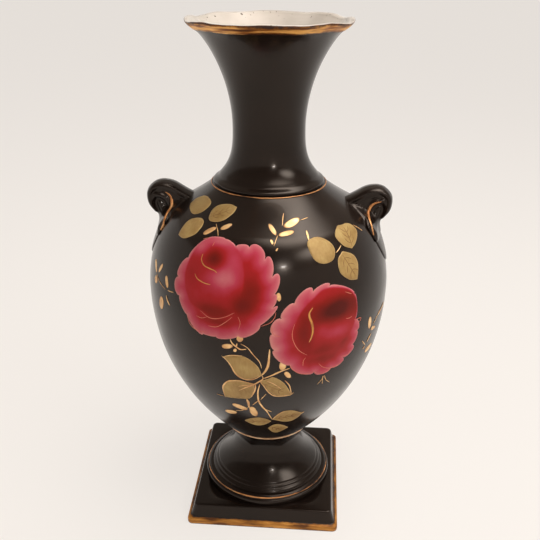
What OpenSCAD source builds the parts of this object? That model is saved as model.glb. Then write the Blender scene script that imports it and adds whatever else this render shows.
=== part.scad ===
// Two-handled flower vase: black-glazed earthenware on a square plinth, with gilded lines.
// Every clay section is moulded hollow and luted to the next with a socket joint.
// Millimetres, +Z up. The origin is the centre of the plinth's underside.
// The handles lie along X and the painted front faces -Y.

/* [Plinth] */
// Width of the plinth's top that shows outside the foot at the middle of a side
foot_margin_w = 2; // [1:0.5:10]
// How far each black side leans out between its top and its bottom
block_lean = 1; // [0:0.1:2]
// How far the gilded flange stands out below the block
flange_ledge_w = 3; // [2:0.2:8]
// Height of the flange
flange_h = 3.3; // [2:0.1:5]
// Height of the whole plinth
plinth_h = 12.5; // [10:0.5:25]
// Corner radius of the block and the flange
plinth_corner_r = 3; // [2:0.5:6]
// Thickness of the plinth's side walls
plinth_wall = 6; // [4:0.5:9]
// Thickness of the plinth's top slab
plinth_top_t = 4.5; // [3:0.5:6]

/* [Foot] */
// Radius of the foot's rim, which stands on the plinth
foot_rim_r = 41; // [38:0.5:42]
// Height of the rim's upright edge
foot_rim_h = 2.3; // [1:0.1:4]
// Height of the rounding above that edge
foot_round_h = 1.6; // [1:0.1:2.5]
// How far the roll moulding stands back from the rim
foot_step_w = 1.5; // [0.5:0.1:2.5]
// Height of the roll moulding
foot_roll_h = 4.1; // [3:0.1:6]
// Height of the cove between the roll and the dome
cove_h = 1.5; // [0.5:0.1:3]
// Depth of that cove
cove_w = 1.6; // [0.5:0.1:2.5]
// How far the dome starts inside the roll moulding
dome_step_w = 4.3; // [3.2:0.1:6]
// Radius of the stem at its narrowest
stem_r = 22.4; // [20:0.2:26]
// Height of the narrowest part of the stem above the plinth
stem_z = 30; // [26:0.5:32]
// Height from there up to the collar
stem_turn_h = 4.5; // [3:0.5:8]
// How far the collar stands out from the stem
collar_step_w = 2.2; // [1:0.2:4]
// Height of the collar that carries the body
collar_h = 6.5; // [4:0.5:9]
// Thickness of the foot's wall
foot_wall = 5; // [3.5:0.5:6]
// Thickness of the crown inside the collar
crown_t = 7; // [5:0.5:9]
// Outer radius of the ring under the foot that sits in the plinth
foot_spigot_r = 31; // [28:0.5:33]
// Depth of that ring
foot_spigot_h = 3.5; // [2:0.5:4]

/* [Body] */
// How far the body's lower edge stands out over the foot's collar
waist_step_w = 2.8; // [1:0.2:5]
// Radius of the body at its widest
body_r = 70.3; // [64:0.1:80]
// Height from the waist to the widest part
belly_h = 99.5; // [85:0.5:125]
// Height from the widest part to the neck
shoulder_h = 59.6; // [54:0.1:70]
// Radius of the body's top, under the neck
shoulder_top_r = 32; // [31.5:0.1:36]
// Thickness of the body's wall
body_wall = 5; // [3.5:0.5:6]
// Thickness of the body's floor
body_floor_t = 6; // [4:0.5:9]
// Bevel between the floor and the wall inside
floor_bevel = 3; // [1:0.5:6]
// Radius of the boss under the body that sits in the foot's crown
boss_r = 13; // [9:0.5:15]
// Length of that boss
boss_h = 5; // [3:0.5:7]

/* [Neck] */
// Width of the shoulder's edge left bare round the neck's base
neck_ledge_w = 0.8; // [0.4:0.1:2]
// Height of the upright edge at the neck's base
neck_edge_h = 1.2; // [0.5:0.1:2]
// Radius of the neck at its narrowest
neck_r = 20.2; // [18:0.1:24]
// Height of the narrowest part above the body
neck_waist_h = 30.4; // [24:0.2:38]
// Radius of the flared rim
rim_r = 44.9; // [38:0.1:54]
// Height of the whole neck above the body
neck_h = 87.4; // [76:0.2:110]
// Thickness of the neck's wall
neck_wall = 4; // [3:0.5:5]
// Radius of the mouth in the body that takes the neck
mouth_r = 24; // [22:0.5:26]
// How far the neck's socket reaches down into the body
neck_spigot_h = 7; // [4:0.5:9]
// Number of gentle dips round the rim
rim_dips = 12; // [6:1:18]
// Depth of one dip
rim_dip_h = 1; // [0.4:0.1:2]

/* [Handles] */
// Drop of the scroll's centre below the top of the body
scroll_drop = 11; // [9:0.1:16]
// Distance of the scroll's centre outside the body's surface
scroll_out = 14.2; // [12:0.2:18]
// Radius of the scroll along the middle of its strap
scroll_r = 6.4; // [5:0.1:8]
// Thickness of the strap
strap_t = 4.8; // [4:0.2:6]
// Width of the strap at the scroll
strap_w = 13; // [10:0.5:16]
// Width of the leaf where the strap lies on the body
leaf_w = 39; // [28:1:44]
// How far the leaf stands proud of the body at its broad upper end
leaf_relief = 0.9; // [0.6:0.1:2]
// How far the leaf stands proud of the body near its tip
tip_relief = 2; // [1:0.1:3]
// Height of the leaf's lower tip above the widest part of the body
leaf_tip_h = 13.5; // [8:0.5:20]
// Height from the scroll's centre down to where the strap leaves the body
strap_leave_h = 11; // [9:0.5:14]
// Thickness of the web that closes the scroll
web_w = 9; // [6:0.5:11]

/* [Joints and gilding] */
// Film of slip left open in every luted joint
lute_gap = 0.15; // [0.05:0.05:0.4]
// Thickness of the gilding
gild_t = 0.3; // [0.2:0.05:0.6]
// Gap between the gilding and the glaze under it
gild_gap = 0.05; // [0.02:0.01:0.2]
// Width of the thin gilded lines at the foot, waist and shoulder
line_w = 1.3; // [0.8:0.1:3]
// Width of the gilded band under the rim
rim_band_w = 4; // [2:0.5:7]
// Distance of that band below the lip
rim_band_drop = 0.4; // [0.2:0.1:3]
// Thickness of the gilded line on each handle
handle_line_t = 1; // [0.6:0.1:1.6]
// Height of the bare foot of the flange under its gilding
flange_bare_h = 0.4; // [0.2:0.1:1]

/* [Hidden] */
$fn = 96;
overcut = 1;
glaze = [0.16, 0.14, 0.12];
gold = [0.76, 0.56, 0.26];

// Radii and widths that follow from the pieces they meet
foot_roll_r = foot_rim_r - foot_step_w;
dome_r = foot_roll_r - dome_step_w;
collar_r = stem_r + collar_step_w;
waist_r = collar_r + waist_step_w;
neck_base_r = shoulder_top_r - neck_ledge_w;
block_w = 2 * (foot_rim_r + foot_margin_w);
flange_w = block_w + 2 * (block_lean + flange_ledge_w);

// Heights of the joints
foot_h = stem_z + stem_turn_h + collar_h;
waist_z = plinth_h + foot_h;
body_h = belly_h + shoulder_h;
neck_z = waist_z + body_h;

// Cubic curve through four control points, at t or in n steps
function bezier(p, t) =
    pow(1 - t, 3) * p[0] + 3 * pow(1 - t, 2) * t * p[1]
    + 3 * (1 - t) * t * t * p[2] + t * t * t * p[3];
function curve(p, n, t0 = 0, t1 = 1) = [for (i = [0:n]) bezier(p, t0 + (t1 - t0) * i / n)];

// Unit normal of an outline at point i, to the right of its direction
function normal_at(pts, i) =
    let (d = pts[min(i + 1, len(pts) - 1)] - pts[max(i - 1, 0)])
    [d[1], -d[0]] / norm(d);

// The same outline moved sideways by d
function shifted(pts, d) = [for (i = [0:len(pts) - 1]) pts[i] + d * normal_at(pts, i)];
function reversed(pts) = [for (i = [len(pts) - 1:-1:0]) pts[i]];
function mix(a, b, t) = a + (b - a) * t;
function smooth(t) = t * t * (3 - 2 * t);

// Outer curves of the foot, upwards; heights above the plinth
roll_z = foot_rim_h + foot_round_h;
cove_z = roll_z + foot_roll_h;
dome_z = cove_z + cove_h;
roll_curve = [
    [foot_roll_r, roll_z], [foot_roll_r + 0.1 * foot_roll_h, mix(roll_z, cove_z, 0.5)],
    [mix(dome_r + cove_w, foot_roll_r, 0.6), cove_z], [dome_r + cove_w, cove_z]
];
dome_curve = [
    [dome_r, dome_z], [mix(stem_r, dome_r, 0.92), mix(dome_z, stem_z, 0.2)],
    [mix(stem_r, dome_r, 0.15), mix(dome_z, stem_z, 0.42)], [stem_r, stem_z]
];
collar_z = foot_h - collar_h;
stem_curve = [
    [stem_r, stem_z], [stem_r, mix(stem_z, collar_z, 0.6)],
    [mix(stem_r, collar_r, 0.5), collar_z], [collar_r, collar_z]
];

// Outer curves of the body, upwards from the waist; heights above the waist
belly_curve = [
    [waist_r, 0], [mix(waist_r, body_r, 0.485), 0.216 * belly_h],
    [body_r, 0.537 * belly_h], [body_r, belly_h]
];
turn = [mix(shoulder_top_r, body_r, 0.56), body_h - 0.245 * shoulder_h];
turn_way = [mix(shoulder_top_r, body_r, 0.14) - shoulder_top_r, -0.053 * shoulder_h];
upper_curve = [
    [body_r, belly_h], [body_r, belly_h + 0.302 * shoulder_h], turn + 1.65 * turn_way, turn
];
shoulder_curve = [
    turn, turn - 1.3 * turn_way,
    [mix(shoulder_top_r, body_r, 0.125), body_h - 0.075 * shoulder_h], [shoulder_top_r, body_h]
];
body_outline = concat(
    curve(belly_curve, 20), curve(upper_curve, 14, 1 / 14, 1), curve(shoulder_curve, 8, 1 / 8, 1)
);

// Outer curves of the neck, upwards from its base; heights above the body
neck_low_curve = [
    [neck_base_r, neck_edge_h], [mix(neck_r, neck_base_r, 0.15), 0.32 * neck_waist_h],
    [neck_r, 0.53 * neck_waist_h], [neck_r, neck_waist_h]
];
neck_high_curve = [
    [neck_r, neck_waist_h], [neck_r, mix(neck_waist_h, neck_h, 0.35)],
    [mix(neck_r, rim_r, 0.337), mix(neck_waist_h, neck_h, 0.768)], [rim_r, neck_h]
];

// Radius of the body's surface at a height above the waist
body_table = [for (p = body_outline) [p[1], p[0]]];
function body_r_at(z) = lookup(z, body_table);

// Rounded square pad: half width, corner radius and inward lean over its height
module pad(half, corner, h, lean = 0) {
    inner = half - corner;
    for (x = [-1, 1], y = [-1, 1])
        translate([x * inner, y * inner, 0])
            cylinder(h = h, r1 = corner, r2 = corner - lean);
    for (quarter = [0, 90])
        rotate([90, 0, quarter])
            linear_extrude(height = 2 * inner, center = true)
                polygon([[-half, 0], [half, 0], [half - lean, h], [lean - half, h]]);
}

module plinth() {
    hollow_half = block_w / 2 - plinth_wall;
    color(glaze)
        difference() {
            union() {
                pad(flange_w / 2, plinth_corner_r, flange_h);
                translate([0, 0, flange_h])
                    pad(block_w / 2 + block_lean, plinth_corner_r + block_lean,
                        plinth_h - flange_h, block_lean);
            }
            translate([0, 0, -overcut])
                pad(hollow_half, plinth_corner_r, plinth_h - plinth_top_t + overcut);
            cylinder(h = plinth_h + overcut, r = foot_spigot_r + lute_gap);
        }
}

module foot() {
    bore_r = foot_spigot_r - foot_wall;
    boss_hole_r = boss_r + lute_gap;
    crown_z = foot_h - crown_t;
    inner_wall = shifted(concat(curve(dome_curve, 12), curve(stem_curve, 6, 1 / 6, 1)), -foot_wall);
    hollow = [for (p = inner_wall) if (p[0] < bore_r && p[1] < crown_z) p];
    color(glaze)
        translate([0, 0, plinth_h])
            rotate_extrude()
                polygon(concat(
                    [[bore_r, -foot_spigot_h], [foot_spigot_r, -foot_spigot_h], [foot_spigot_r, 0]],
                    [[foot_rim_r, 0], [foot_rim_r, foot_rim_h]],
                    [[mix(foot_roll_r, foot_rim_r, 0.7), mix(foot_rim_h, roll_z, 0.7)]],
                    curve(roll_curve, 6),
                    [[mix(dome_r, dome_r + cove_w, 0.4), mix(cove_z, dome_z, 0.2)]],
                    curve(dome_curve, 14),
                    curve(stem_curve, 6, 1 / 6, 1),
                    [[collar_r, foot_h], [boss_hole_r, foot_h], [boss_hole_r, crown_z]],
                    [[hollow[len(hollow) - 1][0], crown_z]],
                    reversed(hollow),
                    [[bore_r, hollow[0][1]]]
                ));
}

module body() {
    inner = [for (p = shifted(body_outline, -body_wall)) if (p[1] > body_floor_t && p[0] > mouth_r) p];
    color(glaze)
        translate([0, 0, waist_z])
            rotate_extrude()
                polygon(concat(
                    [[0, -boss_h], [boss_r, -boss_h], [boss_r, 0]],
                    body_outline,
                    [[mouth_r, body_h], [mouth_r, inner[len(inner) - 1][1]]],
                    reversed(inner),
                    [[inner[0][0] - floor_bevel, body_floor_t], [0, body_floor_t]]
                ));
}

// The dips round the rim, each cut by a large lying cylinder whose radius follows from its chord
module rim_cuts() {
    chord_half = rim_r * sin(180 / rim_dips);
    cut_r = (chord_half * chord_half + rim_dip_h * rim_dip_h) / (2 * rim_dip_h);
    for (i = [0:rim_dips - 1])
        rotate([0, 90, (i + 0.5) * 360 / rim_dips])
            translate([rim_dip_h - neck_h - cut_r, 0, rim_r / 2])
                cylinder(h = rim_r, r = cut_r, $fn = 180);
}

module neck() {
    outer = concat(curve(neck_low_curve, 12), curve(neck_high_curve, 18, 1 / 18, 1));
    spigot_r = mouth_r - lute_gap;
    bore_r = spigot_r - neck_wall;
    inner = [for (p = shifted(outer, -neck_wall)) if (p[0] < bore_r || p[1] > neck_waist_h) p];
    lip = inner[len(inner) - 1];
    color(glaze)
        translate([0, 0, neck_z])
            difference() {
                rotate_extrude()
                    polygon(concat(
                        [[bore_r, -neck_spigot_h], [spigot_r, -neck_spigot_h], [spigot_r, 0]],
                        [[neck_base_r, 0]],
                        outer,
                        [[mix(rim_r, lip[0], 0.5), neck_h], [lip[0], mix(neck_h, lip[1], 0.3)]],
                        reversed(inner),
                        [[bore_r, inner[0][1]]]
                    ));
                rim_cuts();
            }
}

// Middle line of a handle's strap in its own plane, [distance from the axis, height above the waist]:
// up the leaf on the body, away from the body, then round the scroll
leaf_steps = 9;
leave_steps = 7;
scroll_steps = 14;
scroll_end = -50;
scroll_z = body_h - scroll_drop;
scroll_x = body_r_at(scroll_z) + scroll_out;
leave_z = scroll_z - strap_leave_h;
tip_z = belly_h + leaf_tip_h;
leaf_lift = 0.3;
leave_point = [body_r_at(leave_z) + leaf_lift, leave_z];
leave_way = leave_point - [body_r_at(leave_z - 1) + leaf_lift, leave_z - 1];
leave_curve = [
    leave_point, leave_point + 0.3 * strap_leave_h * leave_way,
    [scroll_x - scroll_r, scroll_z - 0.36 * strap_leave_h], [scroll_x - scroll_r, scroll_z]
];
function leaf_point(t) = let (z = mix(tip_z, leave_z, t)) [body_r_at(z) + leaf_lift, z];
function scroll_point(a) = [scroll_x + scroll_r * cos(a), scroll_z + scroll_r * sin(a)];
strap_line = concat(
    [for (i = [0:leaf_steps - 1]) leaf_point(i / leaf_steps)],
    [for (i = [0:leave_steps - 1]) bezier(leave_curve, i / leave_steps)],
    [for (i = [0:scroll_steps]) scroll_point(mix(180, scroll_end, i / scroll_steps))]
);

// Half width, outer thickness and inner thickness of the strap along that line
leaf_sink = 1.5;
leaf_end = 0.85;
end_round = [1, 0.97, 0.86, 0.55];
function leaf_size(t) = [
    leaf_w / 2 * pow(sin(90 * t), 0.6), mix(tip_relief, leaf_relief, t) * min(1, sqrt(6 * t)), leaf_sink
];
function leave_size(t) = [
    mix(leaf_w, strap_w, pow(smooth(min(1, t / leaf_end)), 1.3)) / 2,
    mix(leaf_relief, strap_t / 2, t), mix(leaf_sink, strap_t / 2, t)
];
function scroll_size(e) = [strap_w, strap_t, strap_t] / 2 * e;
function strap_size(i) =
    i < leaf_steps ? leaf_size(max(i, 0.25) / leaf_steps)
    : i < leaf_steps + leave_steps ? leave_size((i - leaf_steps) / leave_steps)
    : scroll_size(end_round[max(0, i - len(strap_line) + len(end_round))]);

// How far the leaf's two edges bend down to the wall where its middle already leaves it
function edge_drop(i) =
    i < leaf_steps || i >= leaf_steps + leave_steps ? 0
    : (strap_line[i][0] - leaf_lift - body_r_at(strap_line[i][1]))
        * sqrt((2 * strap_size(i)[0] - strap_w) / (leaf_w - strap_w));

// One point of the strap's skin at station i and section angle a, lifted by d along its normal.
// Its width follows the round of the body, so that the leaf lies on the wall.
function signed_pow(v, p) = sign(v) * pow(abs(v), p);
function strap_skin(i, a, d = 0) =
    let (
        size = strap_size(i),
        thick = sin(a) >= 0 ? size[1] : size[2],
        dir = [sin(a) / thick, cos(a) / size[0]],
        across = size[0] * signed_pow(cos(a), 0.8) + d * dir[1] / norm(dir),
        up = thick * signed_pow(sin(a), 0.8) + d * dir[0] / norm(dir)
            - edge_drop(i) * pow(cos(a), 2),
        p = strap_line[i] + up * normal_at(strap_line, i),
        swing = across / p[0] * 180 / PI
    )
    [p[0] * cos(swing), p[0] * sin(swing), p[1]];

// Closed skin over rings of points, each with the same number of points
module skin(rings) {
    n = len(rings[0]);
    last = len(rings) - 1;
    faces = concat(
        [for (i = [0:last - 1], j = [0:n - 1]) [i * n + j, i * n + (j + 1) % n, (i + 1) * n + j]],
        [for (i = [0:last - 1], j = [0:n - 1])
            [(i + 1) * n + j, i * n + (j + 1) % n, (i + 1) * n + (j + 1) % n]],
        [for (j = [1:n - 2]) [0, j + 1, j]],
        [for (j = [1:n - 2]) [last * n, last * n + j, last * n + j + 1]]
    );
    polyhedron(points = [for (r = rings) each r], faces = faces);
}

module crossbar(p, r, w) {
    translate([p[0], 0, p[1]])
        rotate([90, 0, 0])
            cylinder(h = w, r = r, center = true, $fn = 32);
}

// One handle on the +X side: strap, web inside the scroll and infill down to the shoulder
module handle() {
    section_sides = 20;
    throat = leave_point + 0.2 * strap_leave_h * leave_way + [0.2 * strap_t, 0];
    root = [body_r_at(scroll_z), scroll_z - 0.3 * strap_t];
    infill_w = strap_w - 1.3;
    color(glaze)
        translate([0, 0, waist_z])
            difference() {
                union() {
                    skin([for (i = [0:len(strap_line) - 1])
                        [for (j = [0:section_sides - 1]) strap_skin(i, 360 * j / section_sides)]]);
                    hull() {
                        crossbar([scroll_x, scroll_z], scroll_r + 0.3, web_w);
                        crossbar(throat, 0.3 * strap_t, web_w);
                    }
                    hull() {
                        crossbar(scroll_point(130), 0.45 * strap_t, infill_w);
                        crossbar(scroll_point(190), 0.4 * strap_t, infill_w);
                        crossbar(root, 0.4 * strap_t, strap_w + 3);
                    }
                }
                rotate_extrude()
                    polygon(concat([[0, 0]], shifted(body_outline, lute_gap), [[0, body_h]]));
            }
}

module handle_left() {
    mirror([1, 0, 0])
        handle();
}

module handle_right() {
    handle();
}

// Thin band of gilding that follows an outer curve between two of its parameters
module gilded_band(p, t0, t1, z) {
    line = curve(p, 4, t0, t1);
    color(gold)
        translate([0, 0, z])
            rotate_extrude()
                polygon(concat(shifted(line, gild_gap), reversed(shifted(line, gild_gap + gild_t))));
}

// Share of a curve that takes up a given length at its start or its end
function start_share(p, w) = w / (3 * norm(p[1] - p[0]));
function end_share(p, w) = 1 - w / (3 * norm(p[3] - p[2]));

module plinth_gilding() {
    step = gild_gap + gild_t;
    block_half = block_w / 2 + block_lean;
    color(gold)
        difference() {
            translate([0, 0, flange_bare_h])
                pad(flange_w / 2 + step, plinth_corner_r + step, flange_h - flange_bare_h + step);
            translate([0, 0, -overcut])
                pad(flange_w / 2 + gild_gap, plinth_corner_r + gild_gap, flange_h + overcut + gild_gap);
            translate([0, 0, flange_h - overcut])
                pad(block_half + gild_gap, plinth_corner_r + block_lean + gild_gap, step + 2 * overcut);
        }
}

module foot_gilding() {
    gilded_band(roll_curve, 0, start_share(roll_curve, line_w), plinth_h);
}

module waist_gilding() {
    gilded_band(belly_curve, 0, start_share(belly_curve, line_w), waist_z);
}

module shoulder_gilding() {
    gilded_band(shoulder_curve, end_share(shoulder_curve, line_w), 1, waist_z);
}

module rim_gilding() {
    difference() {
        gilded_band(neck_high_curve, end_share(neck_high_curve, rim_band_drop + rim_band_w),
            end_share(neck_high_curve, rim_band_drop), neck_z);
        translate([0, 0, neck_z])
            rim_cuts();
    }
}

// Gilded line on the front and back edges of one handle, from inside the scroll down to the leaf
module handle_gilding() {
    first = leaf_steps - 1;
    last = leaf_steps + leave_steps + 6;
    line_sides = 6;
    lift = gild_gap + handle_line_t / 2;
    for (edge = [1, -1]) {
        line = [for (i = [first:last])
            strap_skin(i, 90 + edge * mix(80, 60, (i - first) / (last - first)), lift)];
        color(gold)
            translate([0, 0, waist_z])
                skin([for (i = [0:len(line) - 1])
                    let (
                        way = line[min(i + 1, len(line) - 1)] - line[max(i - 1, 0)],
                        side = cross(way, [0, 1, 0]) / norm(cross(way, [0, 1, 0])),
                        up = cross(side, way) / norm(cross(side, way))
                    )
                    [for (j = [0:line_sides - 1])
                        line[i] + handle_line_t / 2
                            * (cos(360 * j / line_sides) * side + sin(360 * j / line_sides) * up)]]);
    }
}

module handle_gilding_left() {
    mirror([1, 0, 0])
        handle_gilding();
}

module handle_gilding_right() {
    handle_gilding();
}

plinth();
foot();
body();
neck();
handle_left();
handle_right();
plinth_gilding();
foot_gilding();
waist_gilding();
shoulder_gilding();
rim_gilding();
handle_gilding_left();
handle_gilding_right();
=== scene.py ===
# %% [markdown]
# A two-handled flower vase in black-glazed earthenware, with gilded lines and painted roses.
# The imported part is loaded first: every piece below is made round it, in metres, in the same frame.
# +Z is up, the handles lie along X and the painted front faces -Y.

# %% Load the part
import bpy
import bmesh
import math
import numpy as np
from mathutils import Matrix, Vector
from mathutils.geometry import delaunay_2d_cdt


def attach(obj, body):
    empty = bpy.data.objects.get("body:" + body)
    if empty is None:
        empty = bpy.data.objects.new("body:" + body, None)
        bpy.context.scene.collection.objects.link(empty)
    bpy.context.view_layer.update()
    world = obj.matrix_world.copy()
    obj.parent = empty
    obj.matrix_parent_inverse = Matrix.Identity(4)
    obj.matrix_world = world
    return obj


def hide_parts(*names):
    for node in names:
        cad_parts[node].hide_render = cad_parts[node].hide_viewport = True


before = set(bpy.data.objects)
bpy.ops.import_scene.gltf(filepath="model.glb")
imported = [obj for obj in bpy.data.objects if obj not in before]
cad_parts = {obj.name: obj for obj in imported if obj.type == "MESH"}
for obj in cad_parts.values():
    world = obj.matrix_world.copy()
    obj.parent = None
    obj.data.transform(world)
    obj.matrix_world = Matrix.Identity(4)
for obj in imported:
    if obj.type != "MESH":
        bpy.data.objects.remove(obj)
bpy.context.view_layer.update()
scene = bpy.context.scene
scene.view_settings.view_transform = "Standard"
MM = 0.001
print("nodes:", ", ".join(sorted(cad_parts)))

# %% [markdown]
# The camera stands where the photographer stood: about half a metre from the vase, above its rim and
# a little to its right. A camera looks along its own -Z, so its turns are written as a matrix: pitch
# tilts it down, heading turns it to the left, and roll is the slight slant of a hand-held shot.

# %% Camera
def placed(name, data):
    """A new object in the scene."""
    made = bpy.data.objects.new(name, data)
    scene.collection.objects.link(made)
    return made


def look_matrix(pitch, heading, roll):
    """Rotation of a camera that looks along +Y, then is pitched down, turned and rolled, in degrees."""
    turns = ((heading, "Z"), (90 - pitch, "X"), (roll, "Z"))
    turn, tilt, slant = [Matrix.Rotation(math.radians(degrees), 4, axis) for degrees, axis in turns]
    return turn @ tilt @ slant


photo_px, focal_px, sensor_mm = 540, 715.92, 36
eye = placed("camera", bpy.data.cameras.new("camera"))
eye.data.sensor_fit = "HORIZONTAL"
eye.data.sensor_width = sensor_mm
eye.data.lens = sensor_mm * focal_px / photo_px
eye.data.clip_start = 0.02
eye_place, eye_turns = (0.0293, -0.3898, 0.3319), (24.16, 4.16, 0.32)
eye.matrix_world = Matrix.Translation(eye_place) @ look_matrix(*eye_turns)
scene.camera = eye
print("lens %.1f mm" % eye.data.lens)

# %% [markdown]
# Lamps, materials and Geometry Nodes trees are all made of nodes. Nodes can be wired one line at a time,
# but then a recipe drowns in its wiring. So small helpers do that: the first gives a node its inputs,
# where plain values are set and sockets are linked, and the others each make a node that comes back often
# and hand on its result.

# %% Node helpers
def feed(tree, node, inputs):
    """Gives a node its inputs: {name or number: value or socket}."""
    for key, value in dict(inputs).items():
        if isinstance(value, bpy.types.NodeSocket):
            tree.links.new(value, node.inputs[key])
        else:
            node.inputs[key].default_value = value


def add(tree, kind, inputs=(), **settings):
    """A new node with its inputs and its own settings."""
    made = tree.nodes.new(kind)
    for key, value in settings.items():
        setattr(made, key, value)
    feed(tree, made, inputs)
    return made


def maths(tree, operation, *values):
    """Result socket of a Math node."""
    return add(tree, "ShaderNodeMath", enumerate(values), operation=operation).outputs[0]


def vector_maths(tree, operation, *values):
    """Result socket of a Vector Math node; two of its operations give a number."""
    made = add(tree, "ShaderNodeVectorMath", enumerate(values), operation=operation)
    return made.outputs["Value" if operation in ("DISTANCE", "DOT_PRODUCT") else "Vector"]


def between(tree, value, low, high, out_low=0.0, out_high=1.0, kind="SMOOTHSTEP"):
    """A value moved from one range into another."""
    ends = {"From Min": low, "From Max": high, "To Min": out_low, "To Max": out_high}
    return add(tree, "ShaderNodeMapRange", {"Value": value, **ends}, interpolation_type=kind).outputs[0]


print("node helpers ready")

# %% [markdown]
# Black glaze is a mirror, so the lamps are chosen for their reflections. A soft panel overhead makes the
# broad glow on the shoulder, a window on the right the one on the foot, and a small lamp beside the
# camera the bright dots. A plain square lamp would show as a hard white square in the glaze, so the panel
# and the window fade towards their borders, as light behind cloth does. A fill on the left is hidden from
# reflections and only lights the paint.

# %% Lamps
def lamp(name, place, aim, power, sides, tint=(1, 1, 1)):
    """A rectangular lamp at a place, turned towards a point; metres and watts."""
    light = bpy.data.lights.new(name, "AREA")
    light.shape = "RECTANGLE"
    light.energy = power
    light.color = tint
    light.size, light.size_y = sides
    holder = placed(name, light)
    way = Vector(aim) - Vector(place)
    holder.matrix_world = Matrix.Translation(place) @ way.to_track_quat("-Z", "Y").to_matrix().to_4x4()
    return holder


def soft_edged(holder, full=0.12, gone=0.5, gain=2.2):
    """Lets a panel's light fade from its middle to its border, as a lamp behind cloth does."""
    holder.data.use_nodes = True
    tree = holder.data.node_tree
    where = add(tree, "ShaderNodeNewGeometry").outputs["Parametric"]
    off = vector_maths(tree, "DISTANCE", where, (0.5, 0.5, 0))
    feed(tree, tree.nodes["Emission"], {"Strength": between(tree, off, full, gone, gain, 0.0)})


lamp("small_lamp", (0.159, -0.490, 0.422), (0, 0, 0.19), 0.32, (0.036, 0.016))
panel = lamp("soft_panel", (0.24, -0.04, 1.0), (0, 0, 0.15), 12.4, (1.2, 0.92), (1, 0.94, 0.88))
window = lamp("right_window", (0.64, -0.41, 0.76), (0, 0, 0.1), 3.5, (0.8, 0.36), (1, 0.97, 0.93))
fill = lamp("left_fill", (-0.75, -0.55, 0.6), (0, 0, 0.15), 1.3, (0.8, 0.8), (1, 0.93, 0.86))
fill.visible_glossy = False
for soft_light in (panel, window):
    soft_edged(soft_light)

# %% [markdown]
# A room is never equally bright all round. A picture of a room could be wrapped round the scene, but for
# a dark glaze a plain gradient is enough: warm, dim on the camera's side, and brighter above and behind
# the vase.

# %% Surround
surround = bpy.data.worlds.new("pale_surround")
surround.use_nodes = True
room = surround.node_tree
sky_place = add(room, "ShaderNodeTexCoord").outputs["Generated"]
lean = vector_maths(room, "DOT_PRODUCT", sky_place, (0, 0.85, 0.53))
level = between(room, lean, -0.8, 0.8, 0.08, 0.42, "LINEAR")
feed(room, room.nodes["Background"], {"Color": (1.0, 0.86, 0.73, 1), "Strength": level})
scene.world = surround
print("surround:", surround.name)

# %% [markdown]
# The vase stands on warm white paper that sweeps up all round behind it, as in a photo studio. More lamps
# would make the paper pale, but they would wash out the glaze too. So Light Path mixes in the paper's own
# colour where the camera sees it, or the glaze that mirrors it, and the rest of its shading keeps the
# shadow of the vase.

# %% Paper floor
def new_mesh(name, points, edges=(), faces=()):
    """A mesh from plain lists, in metres."""
    made = bpy.data.meshes.new(name)
    made.from_pydata(points, edges, faces)
    return made


def quads(count, low, high):
    """Faces between two rings of count points; low and high are the numbers of their first points."""
    return [(low + j, low + (j + 1) % count, high + (j + 1) % count, high + j) for j in range(count)]


def new_material(name, **constants):
    """A node material, its tree and its shader; constants are shader inputs that stay the same all over."""
    made = bpy.data.materials.new(name)
    made.use_nodes = True
    shader = made.node_tree.nodes["Principled BSDF"]
    feed(made.node_tree, shader, {key.replace("_", " "): value for key, value in constants.items()})
    return made, made.node_tree, shader


floor_sides, floor_r, sweep_r, sweep_h = 64, 9.0, 12.0, 5.0
floor_points = []
for r, z in ((floor_r, 0.0), (sweep_r, sweep_h)):
    angles = [math.tau * k / floor_sides for k in range(floor_sides)]
    floor_points += [(r * math.cos(a), r * math.sin(a), z) for a in angles]
floor_faces = [tuple(range(floor_sides))] + quads(floor_sides, 0, floor_sides)
floor_mesh = new_mesh("floor", floor_points, faces=floor_faces)
floor = placed("floor", floor_mesh)
paper_tint, sheet_white = (0.91, 0.865, 0.82, 1), 0.8
paper, tree, paper_shader = new_material(
    "white_paper", Base_Color=paper_tint, Roughness=0.9, Specular_IOR_Level=0.1)
rays = add(tree, "ShaderNodeLightPath").outputs
seen = rays["Is Camera Ray"]
for other in ("Is Glossy Ray", "Is Transmission Ray"):
    seen = maths(tree, "MAXIMUM", seen, rays[other])
share = maths(tree, "MULTIPLY", seen, sheet_white)
white = add(tree, "ShaderNodeEmission", {"Color": paper_tint})
both = add(tree, "ShaderNodeMixShader", {0: share, 1: paper_shader.outputs[0], 2: white.outputs[0]})
feed(tree, tree.nodes["Material Output"], {"Surface": both.outputs[0]})
floor_mesh.materials.append(paper)
print("floor: %.0f m wide, swept up to %.0f m" % (2 * floor_r, sweep_h))

# %% [markdown]
# A profile could be typed in as a long list of points, but a few cubic curves say the same and can still
# be changed. These helpers draw such curves, move an outline sideways by the thickness of a wall, and
# ease sharp corners into small arcs, as a coat of glaze does.

# %% Curve helpers
def mix(a, b, t):
    """Value between a and b."""
    return a + (b - a) * t


def smooth(t):
    """A soft step from 0 to 1."""
    t = np.clip(t, 0, 1)
    return t * t * (3 - 2 * t)


def hump(value, at, width):
    """A soft hump of height 1."""
    return np.exp(-((value - at) / width) ** 2)


def curve(p, steps, t0=0.0, t1=1.0):
    """Points of a cubic curve with four control points."""
    points = []
    for i in range(steps + 1):
        t = t0 + (t1 - t0) * i / steps
        w = ((1 - t) ** 3, 3 * (1 - t) ** 2 * t, 3 * (1 - t) * t * t, t ** 3)
        points.append(tuple(sum(w[k] * p[k][axis] for k in range(4)) for axis in (0, 1)))
    return points


def direction(points, i):
    """Direction of a path at one of its points, of length 1."""
    a, b = points[max(i - 1, 0)], points[min(i + 1, len(points) - 1)]
    length = math.hypot(b[0] - a[0], b[1] - a[1])
    return (b[0] - a[0]) / length, (b[1] - a[1]) / length


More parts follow.
